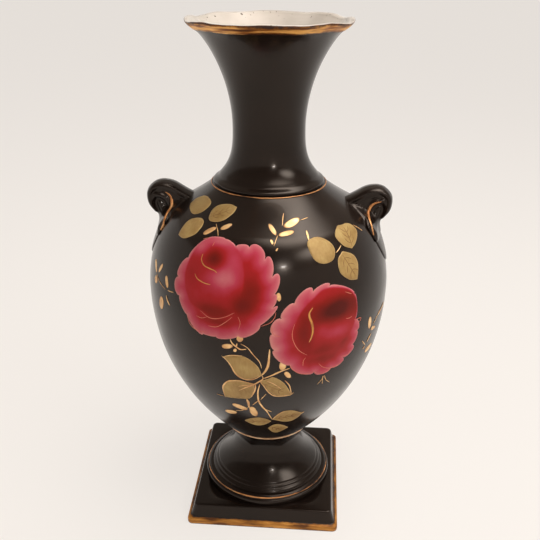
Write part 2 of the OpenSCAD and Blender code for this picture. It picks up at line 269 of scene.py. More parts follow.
def shifted(points, d):
    """The same outline moved sideways by d, to the right of its direction."""
    moved = []
    for i, (x, y) in enumerate(points):
        dx, dy = direction(points, i)
        moved.append((x + d * dy, y - d * dx))
    return moved


def eased(points, reach, steps=4):
    """A closed outline whose sharp corners are replaced by small arcs; points on the axis stay."""
    least_bend, on_axis, side_share = math.radians(20), 0.01, 0.45
    out = []
    for i, point in enumerate(points):
        p = Vector(point)
        before, after = Vector(points[i - 1]) - p, Vector(points[(i + 1) % len(points)]) - p
        bend = math.pi - before.angle(after) if before.length and after.length else 0
        if p.x < on_axis or bend < least_bend:
            out.append(tuple(p))
            continue
        a, b = [p + way.normalized() * min(reach, way.length * side_share) for way in (before, after)]
        for k in range(steps + 1):
            t = k / steps
            out.append(tuple((1 - t) ** 2 * a + 2 * (1 - t) * t * p + t * t * b))
    return out


print("curve helpers ready")

# %% [markdown]
# Foot, body and neck are turned forms, so each one is a profile swept round the axis. These are the
# potter's templates for them: cubic curves with their sizes in millimetres, as in the part's own source,
# but for the dome of the foot, which is a little softer. Heights are counted from the lower end of each
# section.

# %% Templates of the turned sections
plinth_h, foot_h, body_h, neck_h = 12.5, 41.0, 159.1, 87.4
waist_r, belly_r, belly_h, mouth_r = 27.4, 70.3, 99.5, 32
waist_z = plinth_h + foot_h
neck_z = waist_z + body_h
belly = [(waist_r, 0), (48.2, 21.5), (belly_r, 53.4), (belly_r, belly_h)]
turn = Vector((mix(mouth_r, belly_r, 0.56), body_h - 14.6))
turn_way = Vector((5.36, -3.16))
upper = [(belly_r, belly_h), (belly_r, 117.5), turn + 1.65 * turn_way, turn]
shoulder = [turn, turn - 1.3 * turn_way, (36.8, body_h - 4.47), (mouth_r, body_h)]
body_line = curve(belly, 60) + curve(upper, 40)[1:] + curve(shoulder, 24)[1:]
neck_low = [(31.2, 1.2), (21.85, 9.73), (20.2, 16.1), (20.2, 30.4)]
neck_high = [(20.2, 30.4), (20.2, 50.35), (28.5, 74.2), (44.9, neck_h)]
roll = [(39.6, 3.7), (39.7, 5.3), (38.4, 6.1), (37.0, 6.3)]
dome = [(36.2, 6.7), (31.0, 12.8), (22.6, 17.6), (21.3, 29)]
stem = [(21.3, 29), (21.1, 33.2), (23.0, 37.2), (26.6, 40.8)]
print("body profile: %d points, widest %.1f mm" % (len(body_line), max(p[0] for p in body_line)))

# %% [markdown]
# No glaze is one flat colour. These helpers bring noise, ramps and blends of colour into a material.
# Colours are written from 0 to 255, as a paint program shows them, and turned into linear light, which is
# what a shader works with.

# %% Colour helpers
def noise(tree, place, scale, detail=3.0):
    """Noise at a place; metres, so a scale of 100 gives patches of about a centimetre."""
    return add(tree, "ShaderNodeTexNoise", {"Vector": place, "Scale": scale, "Detail": detail}).outputs[0]


def linear(rgb):
    """Linear colour of an sRGB colour from 0 to 255."""
    shares = [c / 255 for c in rgb]
    return (*[c / 12.92 if c <= 0.04045 else ((c + 0.055) / 1.055) ** 2.4 for c in shares], 1)


def ramp(tree, value, *stops):
    """Colours along a value; each stop is (position, sRGB 0-255)."""
    made = add(tree, "ShaderNodeValToRGB", {"Fac": value})
    band = made.color_ramp
    while len(band.elements) < len(stops):
        band.elements.new(1.0)
    for element, (position, rgb) in zip(band.elements, stops):
        element.position = position
        element.color = linear(rgb)
    return made.outputs["Color"]


def blend(tree, share, a, b):
    """Colour between a and b; each is a socket or a linear colour."""
    return add(tree, "ShaderNodeMix", {0: share, 6: a, 7: b}, data_type="RGBA").outputs[2]


def attribute(tree, name):
    """Value of a named point attribute in a material."""
    return add(tree, "ShaderNodeAttribute", attribute_name=name).outputs["Fac"]


def object_place(tree):
    """Place on the piece in a material, in metres."""
    return add(tree, "ShaderNodeTexCoord").outputs["Object"]


print("colour helpers ready")

# %% [markdown]
# The glaze is a deep brown-black glass. It is thin on the lip, where the brown shows, and it has the
# slight ripple and the few pinholes of a dipped glaze. The mouth and the inside were dipped in a cream
# glaze; the point attribute "inside" says where, and small dark chips break its edge on the lip. A
# painted picture could hold all this, but noise needs no unwrapping and has no seams.

# %% Black glaze and cream lining
def glaze_material(name):
    """Black glaze, with a cream lining where the attribute "inside" is 1."""
    made, tree, shader = new_material(
        name, IOR=1.345, Specular_Tint=(1, 0.84, 0.72, 1), Coat_Weight=0.1, Coat_Roughness=0.05, Coat_IOR=1.4)
    place = object_place(tree)
    lip_share = attribute(tree, "lip")
    black = ramp(tree, noise(tree, place, 28), (0.3, (17, 12, 10)), (0.7, (27, 19, 15)))
    thin = ramp(tree, noise(tree, place, 300), (0.35, (44, 24, 12)), (0.65, (112, 64, 26)))
    black = blend(tree, lip_share, black, thin)
    creams = (0.3, (170, 163, 155)), (0.55, (186, 180, 172)), (0.8, (198, 193, 187))
    cream = ramp(tree, noise(tree, place, 45, 5), *creams)
    chips = between(tree, noise(tree, place, 520, 2), 0.66, 0.71)
    cream = blend(tree, maths(tree, "MULTIPLY", chips, lip_share), cream, (0.03, 0.018, 0.012, 1))
    ragged = maths(tree, "MULTIPLY_ADD", noise(tree, place, 420), 0.5, attribute(tree, "inside"))
    lining = between(tree, ragged, 0.70, 0.78)
    wear = between(tree, noise(tree, place, 70), 0.35, 0.75, 0.19, 0.27)
    rough = add(tree, "ShaderNodeMix", {0: lining, 2: wear, 3: 0.28})
    cells = add(tree, "ShaderNodeTexVoronoi", {"Vector": place, "Scale": 95.0}).outputs
    drawn = add(tree, "ShaderNodeSeparateColor", {0: cells["Color"]}).outputs[0]
    few = maths(tree, "GREATER_THAN", drawn, 0.8)
    pinhole = maths(tree, "MULTIPLY", few, between(tree, cells["Distance"], 0.02, 0.07, 1, 0))
    height = maths(tree, "SUBTRACT", maths(tree, "MULTIPLY", noise(tree, place, 110, 2), 0.25), pinhole)
    bump = add(tree, "ShaderNodeBump", {"Strength": 0.12, "Distance": 0.0004, "Height": height})
    colour = blend(tree, lining, black, cream)
    feed(tree, shader, {"Base Color": colour, "Roughness": rough.outputs[0], "Normal": bump.outputs[0]})
    return made


glaze = glaze_material("black_glaze")
print("material:", glaze.name)

# %% [markdown]
# Geometry Nodes trees use the same wiring and need a few helpers more. Vectors are split into numbers and
# joined again, and each tree starts with named inputs for its sizes and ends in a real mesh with its
# material, because instances alone would be lost when the piece is kept as plain mesh.

# %% Geometry helpers
def geo(tree, kind, inputs=(), **settings):
    """First result of a Geometry Nodes node."""
    return add(tree, "GeometryNode" + kind, inputs, **settings).outputs[0]


def split(tree, vector):
    """The three numbers of a vector."""
    return list(add(tree, "ShaderNodeSeparateXYZ", {0: vector}).outputs)


def joined(tree, x=0.0, y=0.0, z=0.0):
    """A vector from three numbers."""
    return add(tree, "ShaderNodeCombineXYZ", {0: x, 1: y, 2: z}).outputs[0]


def backwards(tree, value):
    """The same number with the other sign."""
    return maths(tree, "MULTIPLY", value, -1.0)


def scaled(tree, vector, amount):
    """A vector times a number."""
    return add(tree, "ShaderNodeVectorMath", {0: vector, "Scale": amount}, operation="SCALE").outputs[0]


def point_value(tree, name):
    """Value of a named point attribute in a geometry tree."""
    return geo(tree, "InputNamedAttribute", {"Name": name}, data_type="FLOAT")


def new_tree(name, *inputs):
    """A geometry tree with Geometry in and out, and the given (name, kind, value) inputs."""
    tree = bpy.data.node_groups.new(name, "GeometryNodeTree")
    tree.interface.new_socket("Geometry", in_out="INPUT", socket_type="NodeSocketGeometry")
    for label, kind, value in inputs:
        socket = tree.interface.new_socket(label, in_out="INPUT", socket_type="NodeSocket" + kind)
        if value is not None:
            socket.default_value = value
    tree.interface.new_socket("Geometry", in_out="OUTPUT", socket_type="NodeSocketGeometry")
    return tree, add(tree, "NodeGroupInput").outputs


def close_tree(tree, geometry, material):
    """The common end: real mesh, its material, and out."""
    real = geo(tree, "RealizeInstances", {"Geometry": geometry})
    add(tree, "NodeGroupOutput", {0: geo(tree, "SetMaterial", {"Geometry": real, "Material": material})})


def moved(tree, geometry, **where):
    """Geometry set to a Position, or moved by an Offset."""
    return geo(tree, "SetPosition", {"Geometry": geometry, **where})


print("geometry helpers ready")

# %% [markdown]
# Hand-made clay is never quite true. Each mesh could be pushed about by itself, but then gilding and
# paint would come off the wall. So the unevenness is a rule of place: a slow noise pulls every point
# inwards by a fraction of a millimetre, and whatever lies there moves with it. The lip is lowered in
# gentle waves in the same way.

# %% Uneven clay
def pulled_in(tree, geometry, depth, grain):
    """The wall moved towards the axis by a slow noise; the same place always moves by the same amount."""
    place = geo(tree, "InputPosition")
    way = vector_maths(tree, "NORMALIZE", vector_maths(tree, "MULTIPLY", place, (1, 1, 0)))
    step = maths(tree, "MULTIPLY", noise(tree, place, grain, 1), depth)
    return moved(tree, geometry, Offset=scaled(tree, way, backwards(tree, step)))


def rim_waves(tree, geometry, depth, waves, phase):
    """Points with the attribute "rim" lowered in gentle, irregular waves, deepest above the handles."""
    x, y, _ = split(tree, geo(tree, "InputPosition"))
    angle = maths(tree, "ARCTAN2", y, x)
    cosine = maths(tree, "COSINE", angle)
    round_place = joined(tree, cosine, maths(tree, "SINE", angle))
    slow, stray, front_share = 2.2, 5.0, 0.25
    sway = maths(tree, "MULTIPLY_ADD", angle, waves, phase)
    sway = maths(tree, "MULTIPLY_ADD", noise(tree, round_place, slow, 1), stray, sway)
    dip = maths(tree, "MULTIPLY_ADD", maths(tree, "SINE", sway), 0.5, 0.5)
    sideways = maths(tree, "POWER", cosine, 2.0)
    sideways = maths(tree, "MULTIPLY_ADD", sideways, 1 - front_share, front_share)
    drop = maths(tree, "MULTIPLY", maths(tree, "MULTIPLY", dip, sideways), depth)
    drop = maths(tree, "MULTIPLY", drop, point_value(tree, "rim"))
    return moved(tree, geometry, Offset=joined(tree, z=backwards(tree, drop)))


print("uneven clay: two rules")

# %% [markdown]
# A potter's turned form is a profile carried round the axis. A Screw modifier could do that, but one tree
# turns all the sections with the same few inputs and adds the uneven clay at once. It sweeps the profile
# round a circle, closes the poles, pulls in the wall, waves the rim and shades the result smooth.

# %% Turning tree
def welded(tree, geometry, reach=0.000002):
    """Geometry whose points in the same place are made one."""
    return geo(tree, "MergeByDistance", {"Geometry": geometry, "Distance": reach})


turning_r, steps_round, uneven = 0.05, 224, 0.0002
turning, given = new_tree(
    "turned_section", ("Turning radius", "Float", turning_r), ("Steps round", "Int", steps_round),
    ("Unevenness", "Float", uneven), ("Grain", "Float", 40.0), ("Rim dip", "Float", 0.0),
    ("Rim waves", "Float", 9.0), ("Rim phase", "Float", 0.0), ("Material", "Material", None))
line = geo(turning, "MeshToCurve", {"Mesh": given["Geometry"]})
round_sizes = {"Resolution": given["Steps round"], "Radius": given["Turning radius"]}
round_path = geo(turning, "CurvePrimitiveCircle", round_sizes, mode="RADIUS")
swept = geo(turning, "CurveToMesh", {"Curve": round_path, "Profile Curve": line})
wall = pulled_in(turning, welded(turning, swept), given["Unevenness"], given["Grain"])
waved = rim_waves(turning, wall, given["Rim dip"], given["Rim waves"], given["Rim phase"])
close_tree(turning, geo(turning, "SetShadeSmooth", {"Geometry": waved}), given["Material"])
print("%s: %d nodes" % (turning.name, len(turning.nodes)))

# %% [markdown]
# A tree hangs on an object as a modifier. Its result is kept as plain mesh, because a finished piece
# stands by itself, and the object that made it is thrown away. Point values, such as where the lining is,
# are written on the profile and are carried round with it.

# %% Turning a piece
def baked(name, start_mesh, tree, values):
    """A finished object: the start mesh put through a tree once, then kept as plain mesh."""
    maker = placed(name + "_maker", start_mesh)
    modifier = maker.modifiers.new("make", "NODES")
    modifier.node_group = tree
    sockets = {s.name: s.identifier for s in tree.interface.items_tree if s.in_out == "INPUT"}
    for key, value in values.items():
        modifier[sockets[key]] = value
    maker.update_tag()
    mesh = bpy.data.meshes.new_from_object(maker.evaluated_get(bpy.context.evaluated_depsgraph_get()))
    mesh.name = name
    bpy.data.objects.remove(maker)
    return placed(name, mesh)


def keep_values(mesh, key, values):
    """Writes a named value on every point of a mesh."""
    mesh.attributes.new(key, "FLOAT", "POINT").data.foreach_set("value", [float(v) for v in values])


def chain(count, start=0):
    """Edges that join points one after another."""
    return [(i, i + 1) for i in range(start, start + count - 1)]


def turned(name, outline, z, closed_loop=True, values=(), **options):
    """A turned section from its outline in millimetres; values are {name: rule of (radius, height)}."""
    points = outline[::-1]
    edges = chain(len(points))
    if closed_loop:
        edges.append((len(points) - 1, 0))
    profile = new_mesh(name + "_profile", [(r * MM - turning_r, -(h + z) * MM, 0) for r, h in points], edges)
    for key, rule in dict(values).items():
        keep_values(profile, key, [rule(r, h) for r, h in points])
    settings = {"Turning radius": turning_r, "Steps round": steps_round, "Unevenness": uneven}
    settings["Material"] = glaze
    settings.update({key.replace("_", " "): value for key, value in options.items()})
    piece = baked(name, profile, turning, settings)
    print("%s: %d faces" % (name, len(piece.data.polygons)))
    return piece


print("turning: %d steps round" % steps_round)

# %% [markdown]
# The foot is a hollow bell on a round rim, with a roll moulding and two fine turned lines on its dome.
# Its hollow, the socket for the body and the ring that sits in the plinth are turned with it, so that the
# wall has its real thickness. The lines could be a bump in the glaze, but cut into the profile they catch
# the light.

# %% Foot
wall_foot, foot_bore_r, socket_r, socket_h = 5.0, 26, 13.15, 34
inside_foot = shifted(curve(dome, 24) + curve(stem, 8)[1:], -wall_foot)
inside_foot = [p for p in inside_foot if p[0] < foot_bore_r and p[1] < socket_h]
line_depth, line_heights, line_width = 0.28, (8.2, 9.9), 0.45
dome_face = [
    (r - line_depth * sum(hump(h, line_h, line_width) for line_h in line_heights), h)
    for r, h in curve(dome, 60)]
foot_outline = eased(
    [(foot_bore_r, -3.5), (31, -3.5), (31, 0), (41, 0), (41, 2.3), (40.55, 3.4)] + curve(roll, 12)
    + [(36.6, 6.1)] + dome_face + curve(stem, 10)[1:]
    + [(26.6, foot_h), (socket_r, foot_h), (socket_r, socket_h), (inside_foot[-1][0], socket_h)]
    + inside_foot[::-1] + [(foot_bore_r, inside_foot[0][1])], 0.5)
foot = turned("foot_visual", foot_outline, plinth_h)

# %% [markdown]
# The body is an egg-shaped pot with its own floor, and a boss under it that sits in the foot. A squashed
# ball would be quicker, but the templates give the real shoulder. This profile starts and ends on the
# axis, so it is an open line and not a loop.

# %% Body
wall_body, skin_room, boss_r, bore_r, floor_h, slack = 5.0, 0.15, 12.9, 24, 6, 0.5
body_face = shifted(body_line, -skin_room)
inside_body = [p for p in shifted(body_line, -wall_body) if p[1] > floor_h and p[0] > bore_r]
body_outline = (
    [(0, -5), (boss_r, -5), (boss_r, 0.05), (body_face[0][0], 0.05)] + body_face[1:]
    + [(bore_r, body_h - 0.1), (bore_r, inside_body[-1][1])] + inside_body[::-1]
    + [(inside_body[0][0] - 3, floor_h), (0, floor_h)])
body = turned("body_visual", body_outline, waist_z, closed_loop=False, values={
    "inside": lambda r, h: r < bore_r + slack and h > floor_h - slack or (r, h) in inside_body})

# %% [markdown]
# The neck is a trumpet with a thin flared lip, a small bead and a groove at its foot, and a spigot that
# sits in the body's mouth. A Solidify modifier would make the wall the same all over; here it thins
# towards the lip. The points of the lip and the inside are marked, for the cream lining and for the waves
# of the rim.

# %% Neck
wall_neck, lip_wall, spigot_r, neck_bore_r = 4.0, 1.9, 23.85, 19.85
bead, bead_h, bead_w = 0.5, 1.8, 0.8
groove, groove_h, neck_groove_w = 0.3, 3.6, 0.9
thin_start, thin_run, glaze_room = 50, 36, 0.05
lip_at, lip_drop, bore_top = 0.985, 0.7, 30
neck_run = curve(neck_low, 40) + curve(neck_high, 60, 0, lip_at)[1:]
neck_face = [
    (r + bead * hump(h, bead_h, bead_w) - groove * hump(h, groove_h, neck_groove_w), h)
    for r, h in shifted(neck_run, -glaze_room)]
inside_neck = []
for (r0, h0), (r1, h1) in zip(shifted(neck_face, -wall_neck), shifted(neck_face, -lip_wall)):
    thin = smooth((h0 - thin_start) / thin_run)
    inside_neck.append((mix(r0, r1, thin), mix(h0, h1, thin)))
inside_neck = [
    p for p in inside_neck if (p[0] < neck_bore_r or p[1] > bore_top) and p[1] < neck_h - lip_drop]
lip_in, lip_out = inside_neck[-1], neck_face[-1]
lip = curve([lip_out, (lip_out[0] + 0.3, neck_h + 0.23), (lip_in[0] + 0.7, neck_h + 0.33), lip_in], 12)[1:-1]
neck_outline = (
    [(neck_bore_r, -7), (spigot_r, -7), (spigot_r, 0), (31.0, 0), (31.15, 0.2), (31.15, 0.7)] + neck_face
    + lip + inside_neck[::-1] + [(neck_bore_r, inside_neck[0][1])])
print("lip top at %.2f mm" % (max(h for r, h in neck_outline) + neck_z))
lining_points = set(lip[1:]) | set(inside_neck)
rim_shape = {"Rim_dip": 0.0015, "Rim_waves": 8.0, "Rim_phase": 2.0}
rim_start, rim_fade, lip_start, lip_fade = 78, 8, 83, 2


def rim_share(r, h):
    """How far a point of the neck follows the waves of the rim."""
    return smooth((h - rim_start) / rim_fade)


neck = turned("neck_visual", neck_outline, neck_z, **rim_shape, values={
    "rim": rim_share,
    "inside": lambda r, h: (r, h) in lining_points,
    "lip": lambda r, h: smooth((h - lip_start) / lip_fade)})
for piece, node in ((foot, "foot"), (body, "body"), (neck, "neck")):
    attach(piece, "root")
    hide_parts(node)

# %% [markdown]
# The plinth is a hollow square block on a thin flange. A bevelled cube would do for the outside, but not
# for the round socket that takes the foot. So it is lofted from rounded squares: every ring has the same
# number of points, and a rounded square whose corner radius is half its width is a circle, so the last
# rings run straight into the socket.

# %% Plinth
def square_ring(half, z, corner, corner_steps=10, side_steps=6):
    """Points of a rounded square, counter-clockwise, in millimetres."""
    def on_corner(quarter, share):
        """Point on the arc of one corner; share runs from 0 to 1 along the arc."""
        way = math.radians(90 * quarter)
        a = way + math.radians(90) * share
        x = (half - corner) * (math.cos(way) - math.sin(way)) + corner * math.cos(a)
        y = (half - corner) * (math.sin(way) + math.cos(way)) + corner * math.sin(a)
        return x, y

    ring = []
    for quarter in range(4):
        ring += [on_corner(quarter, k / corner_steps) for k in range(corner_steps + 1)]
        (x0, y0), (x1, y1) = ring[-1], on_corner(quarter + 1, 0)
        ring += [(mix(x0, x1, k / side_steps), mix(y0, y1, k / side_steps)) for k in range(1, side_steps)]
    return [(x, y, z) for x, y in ring]


def tidied(piece, reach=0.000001):
    """Merges doubles, turns the normals outwards and shades smooth."""
    work = bmesh.new()
    work.from_mesh(piece.data)
    bmesh.ops.remove_doubles(work, verts=work.verts, dist=reach)
    bmesh.ops.recalc_face_normals(work, faces=work.faces)
    if work.calc_volume(signed=True) < 0:
        bmesh.ops.reverse_faces(work, faces=work.faces)
    for face in work.faces:
        face.smooth = True
    work.to_mesh(piece.data)
    work.free()
    return piece


def lofted(name, rings, material, closed_loop=False, capped=False):
    """Mesh through rings of points in millimetres."""
    count, n = len(rings), len(rings[0])
    faces = []
    for i in range(count if closed_loop else count - 1):
        faces += quads(n, i * n, (i + 1) % count * n)
    if capped:
        faces += [tuple(range(n - 1, -1, -1)), tuple(range((count - 1) * n, count * n))]
    mesh = new_mesh(name, [Vector(p) * MM for ring in rings for p in ring], faces=faces)
    mesh.materials.append(material)
    return tidied(placed(name, mesh))


block_profile = [
    (37, 0, 3), (46.4, 0, 3), (46.8, 0.15, 3), (47, 0.6, 3), (47, 3.0, 3), (46.8, 3.5, 2.8),
    (46.4, 3.8, 2.6), (45.9, 3.9, 3), (45.5, 4.2, 3.6), (45.2, 4.8, 3.8), (44.6, 6.8, 3.7), (43.9, 9.2, 3.4),
    (43.3, 11.2, 3.2), (43.1, 11.85, 3.1), (42.95, 12.15, 3), (42.65, 12.36, 2.8), (42.2, 12.47, 2.6),
    (41.5, 12.5, 2.4), (38, 12.5, 8), (31.15, 12.5, 31.15), (31.15, 8, 31.15), (37, 8, 3)]
plinth = lofted("plinth_visual", [square_ring(*sizes) for sizes in block_profile], glaze, closed_loop=True)
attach(plinth, "root")
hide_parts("plinth")
print("plinth: %d faces" % len(plinth.data.polygons))

# %% [markdown]
# Flat outlines are wanted twice: for the ears of the handles and for the painted patches. These helpers
# draw a smooth path through points, measure how far a point is from it, and fill it with triangles. A
# single face would fill an outline too, but it couldn't follow the round of the wall or hold values
# between its corners.

# %% Flat outlines
def through(points, closed_loop=False, steps=6):
    """A smooth path through points."""
    n = len(points)
    out = []
    for i in range(n if closed_loop else n - 1):
        near = [(i + k) % n if closed_loop else min(max(i + k, 0), n - 1) for k in (-1, 0, 1, 2)]
        for k in range(steps):
            t = k / steps
            w = [-t + 2 * t * t - t ** 3, 2 - 5 * t * t + 3 * t ** 3]
            w += [t + 4 * t * t - 3 * t ** 3, -t * t + t ** 3]
            out.append(tuple(sum(w[j] * points[near[j]][axis] for j in range(4)) / 2 for axis in (0, 1)))
    return out if closed_loop else out + [points[-1]]


def edge_distance(points, outline, closed_loop=True):
    """Distance from each point to an outline, or to an open path."""
    p = np.array(points)[:, None, :]
    a = np.array(outline)[None, :, :]
    b = np.roll(a, -1, axis=1)
    if not closed_loop:
        a, b = a[:, :-1], b[:, :-1]
    ab = b - a
    t = np.clip(((p - a) * ab).sum(2) / np.maximum((ab * ab).sum(2), 1e-9), 0, 1)
    return np.sqrt((((a + t[..., None] * ab) - p) ** 2).sum(2)).min(1)


def inside(points, outline):
    """True for each point inside an outline."""
    p = np.array(points)
    a = np.array(outline)
    b = np.roll(a, -1, axis=0)
    x, y = p[:, 0:1], p[:, 1:2]
    crosses = (a[:, 1] > y) != (b[:, 1] > y)
    run = np.where(b[:, 1] == a[:, 1], 1e-9, b[:, 1] - a[:, 1])
    return (crosses & (x < a[:, 0] + (y - a[:, 1]) * (b[:, 0] - a[:, 0]) / run)).sum(1) % 2 == 1


def filled(outline, spacing):
    """Flat triangles inside an outline, with points about spacing apart: (points, triangles)."""
    low, high = np.min(outline, axis=0), np.max(outline, axis=0)
    row_gap, border_gap = spacing * 0.87, spacing * 0.5
    spots = []
    for row, y in enumerate(np.arange(low[1], high[1], row_gap)):
        spots += [(x + (row % 2) * spacing / 2, y) for x in np.arange(low[0], high[0], spacing)]
    kept = inside(spots, outline) & (edge_distance(spots, outline) > border_gap)
    points = list(outline) + [p for p, ok in zip(spots, kept) if ok]
    made = delaunay_2d_cdt([Vector(p) for p in points], [], [list(range(len(outline)))], 1, 1e-5)
    return [tuple(p) for p in made[0]], [tuple(f) for f in made[2]]


print("outline helpers ready")

# %% [markdown]
# Each handle grows out of a broad leaf that lies flat on the shoulder. A flat leaf could be shrunk onto
# the wall, but it has to leave the wall as well. So it is lofted: sections are set along its middle line,
# wide and thin on the wall, narrower and rounder where the clay leaves it.

# %% Leaf of the handle
def body_r_at(h):
    """Radius of the wall at a height above the waist, in millimetres."""
    for (r0, h0), (r1, h1) in zip(body_line, body_line[1:]):
        if h <= h1:
            return mix(r0, r1, max(0.0, (h - h0) / (h1 - h0)))
    return body_line[-1][0]


leaf_steps, leave_steps, last_station = 9, 7, 14
leaf_w, leaf_relief, tip_relief, leaf_sink, leaf_lift = 38.0, 0.6, 0.7, 1.5, 0.05
strap_w, strap_t, scroll_r, strap_leave_h = 13.0, 4.8, 6.4, 11.0
scroll_below_neck, handle_reach, tip_above_belly = 11, 14.2, 13.5
leave_pull, scroll_pull, section_power = 3.3, 0.36, 0.8
scroll_z = body_h - scroll_below_neck
strap_x = body_r_at(scroll_z) + handle_reach - scroll_r
leave_z, tip_z = scroll_z - strap_leave_h, belly_h + tip_above_belly
leave_point = Vector((body_r_at(leave_z) + leaf_lift, leave_z))
leave_way = Vector((body_r_at(leave_z) - body_r_at(leave_z - 1), 1.0))
leave_curve = [
    leave_point, leave_point + leave_pull * leave_way,
    (strap_x, scroll_z - scroll_pull * strap_leave_h), (strap_x, scroll_z)]


def strap_line(u):
    """Middle line of the strap at station u: along the leaf, then away from the wall."""
    if u < leaf_steps:
        z = mix(tip_z, leave_z, u / leaf_steps)
        return (body_r_at(z) + leaf_lift, z)
    t = (u - leaf_steps) / leave_steps
    return curve(leave_curve, 1, t, t)[0]


def strap_size(u):
    """Half width, thickness outwards and thickness inwards at station u."""
    if u < leaf_steps:
        t = max(u, 0.1) / leaf_steps
        half_width = leaf_w / 2 * math.sin(math.radians(90 * t)) ** 0.6
        return half_width, mix(tip_relief, leaf_relief, t) * min(1, math.sqrt(6 * t)), leaf_sink
    t = (u - leaf_steps) / leave_steps
    half_width = mix(leaf_w, strap_w, smooth(t / 0.85) ** 1.3) / 2
    return half_width, mix(leaf_relief, strap_t / 2, t), mix(leaf_sink, strap_t / 2, t)


def edge_drop(u, half_width):
    """How far the leaf's edges bend down to the wall where its middle already leaves it."""
    if u < leaf_steps:
        return 0.0
    x, z = strap_line(u)
    share = max(0, (2 * half_width - strap_w) / (leaf_w - strap_w))
    return (x - leaf_lift - body_r_at(z)) * math.sqrt(share)


def signed_power(v, p):
    """Power of a number that keeps its sign."""
    return math.copysign(abs(v) ** p, v)


def strap_skin(u, angle):
    """Point of the strap's skin at station u and section angle; the width follows the round of the body."""
    half_width, outwards, inwards = strap_size(u)
    c, s = math.cos(math.radians(angle)), math.sin(math.radians(angle))
    across = half_width * signed_power(c, section_power)
    up = (outwards if s >= 0 else inwards) * signed_power(s, section_power)
    up -= edge_drop(u, half_width) * c * c
    x, z = strap_line(u)
    dx, dz = direction([strap_line(max(u - 0.1, 0)), (x, z), strap_line(u + 0.1)], 1)
    x, z = x + up * dz, z - up * dx
    swing = across / x
    return (x * math.cos(swing), x * math.sin(swing), z + waist_z)


section_count, section_sides = 90, 56
stations = [last_station * k / section_count for k in range(section_count + 1)]
leaf_rings = [[strap_skin(u, 360 * j / section_sides) for j in range(section_sides)] for u in stations]
print("leaf: %d sections" % len(leaf_rings))

# %% [markdown]
# Above the leaf stands the ear, a curled scroll with soft grooves that follow its round top. From the side
# it is a flat outline, so it is made as a relief: the outline is filled with points, and each point gets a
# half thickness. It rises round from the rim, sinks in the grooves, swells towards the wall, and beyond the
# ridge that carries the gold line it falls back into the throat.

# %% Ear of the handle
ear_end = [(64.7, 191.2), (64.2, 188.6), (65.0, 184.0)]
ear_top = through([
    (40.5, 203.0), (43.0, 204.0), (46.0, 205.3), (49.3, 207.2), (53.3, 209.6), (57.0, 210.9), (61.4, 211.3),
    (65.2, 210.3), (68.2, 208.0), (69.9, 205.4), (70.3, 202.6), (70.0, 199.4), (68.8, 196.3), (66.6, 193.6),
    *ear_end], steps=8)
ear_root = [(61.4, 184.0), (59.4, 187.0), (56.9, 191.0), (53.4, 195.0), (49.0, 198.6), (44.6, 201.6)]
ear_ridge = through([
    (65.6, 193.6), (66.9, 197.0), (66.9, 200.4), (65.0, 203.3), (61.6, 203.4), (58.4, 201.4), (56.8, 198.6),
    (56.2, 195.4), (57.0, 191.0), (59.5, 186.0), (60.2, 184.0)], steps=8)
ear_half_t, ear_round = 6.6, 2.6
ear_grooves, groove_w = ((3.9, 0.8), (6.2, 0.45)), 0.85
ridge_rise, ridge_w = 0.4, 1.0
ditch_at, ditch_depth, ditch_w = 2.1, 0.9, 0.9
throat_at, throat_depth, throat_w = 2.4, 1.6, 1.5
throat_blend, throat_top, throat_fade = 1.4, 204.5, 3
flat_x, flat_fade = 67.0, 4
root_spread, root_fade, root_top, root_rise = 13, 1.6, 203, 11


def ear_thickness(spots):
    """Half thickness of the ear at flat points (distance from the axis, height)."""
    x, z = np.array(spots).T
    rim = edge_distance(spots, ear_top, False)
    ridge = edge_distance(spots, ear_ridge, False)
    edge = np.clip(rim / ear_round, 0, 1)
    sharp = np.clip((flat_x - x) / flat_fade, 0, 1)
    face = ear_half_t * np.sqrt(1 - (1 - edge) ** 2) + ridge_rise * sharp * hump(ridge, 0, ridge_w)
    for groove_at, depth in ear_grooves:
        face -= depth * hump(rim, groove_at, groove_w)
    face -= ditch_depth * sharp * hump(ridge, ditch_at, ditch_w)
    back = ridge / np.maximum(ridge + rim, 1e-6)
    hollow = ear_half_t * np.sqrt(np.maximum(0, 1 - back ** 2))
    hollow -= throat_depth * hump(ridge, throat_at, throat_w)
    across = np.where(inside(spots, ear_ridge + ear_end[::-1]), ridge, -ridge)
    turned_in = np.clip(0.5 + across / throat_blend, 0, 1) * np.clip((throat_top - z) / throat_fade, 0, 1)
    half = mix(face, np.minimum(hollow, face), turned_in)
    off = np.array([max(0.0, r - body_r_at(h - waist_z)) for r, h in spots])
    spread = root_spread * smooth((root_top - z) / root_rise) * np.exp(-off / root_fade)
    return np.maximum(0, half + spread * edge)


ear_outline = ear_top + ear_root
ear_spacing = 0.5
ear_spots, ear_tris = filled(ear_outline, ear_spacing)
ear_half = ear_thickness(ear_spots)
print("ear: %d points, %.1f mm thick" % (len(ear_spots), 2 * ear_half.max()))

# %% [markdown]
# A Boolean union of leaf and ear would leave a hard crease between them. So they are fused by a voxel
# remesh and smoothed, which gives the soft joints of clay parts that were stuck together with slip and
# dipped in glaze. One handle is made on +X, and its mirror image is the other.

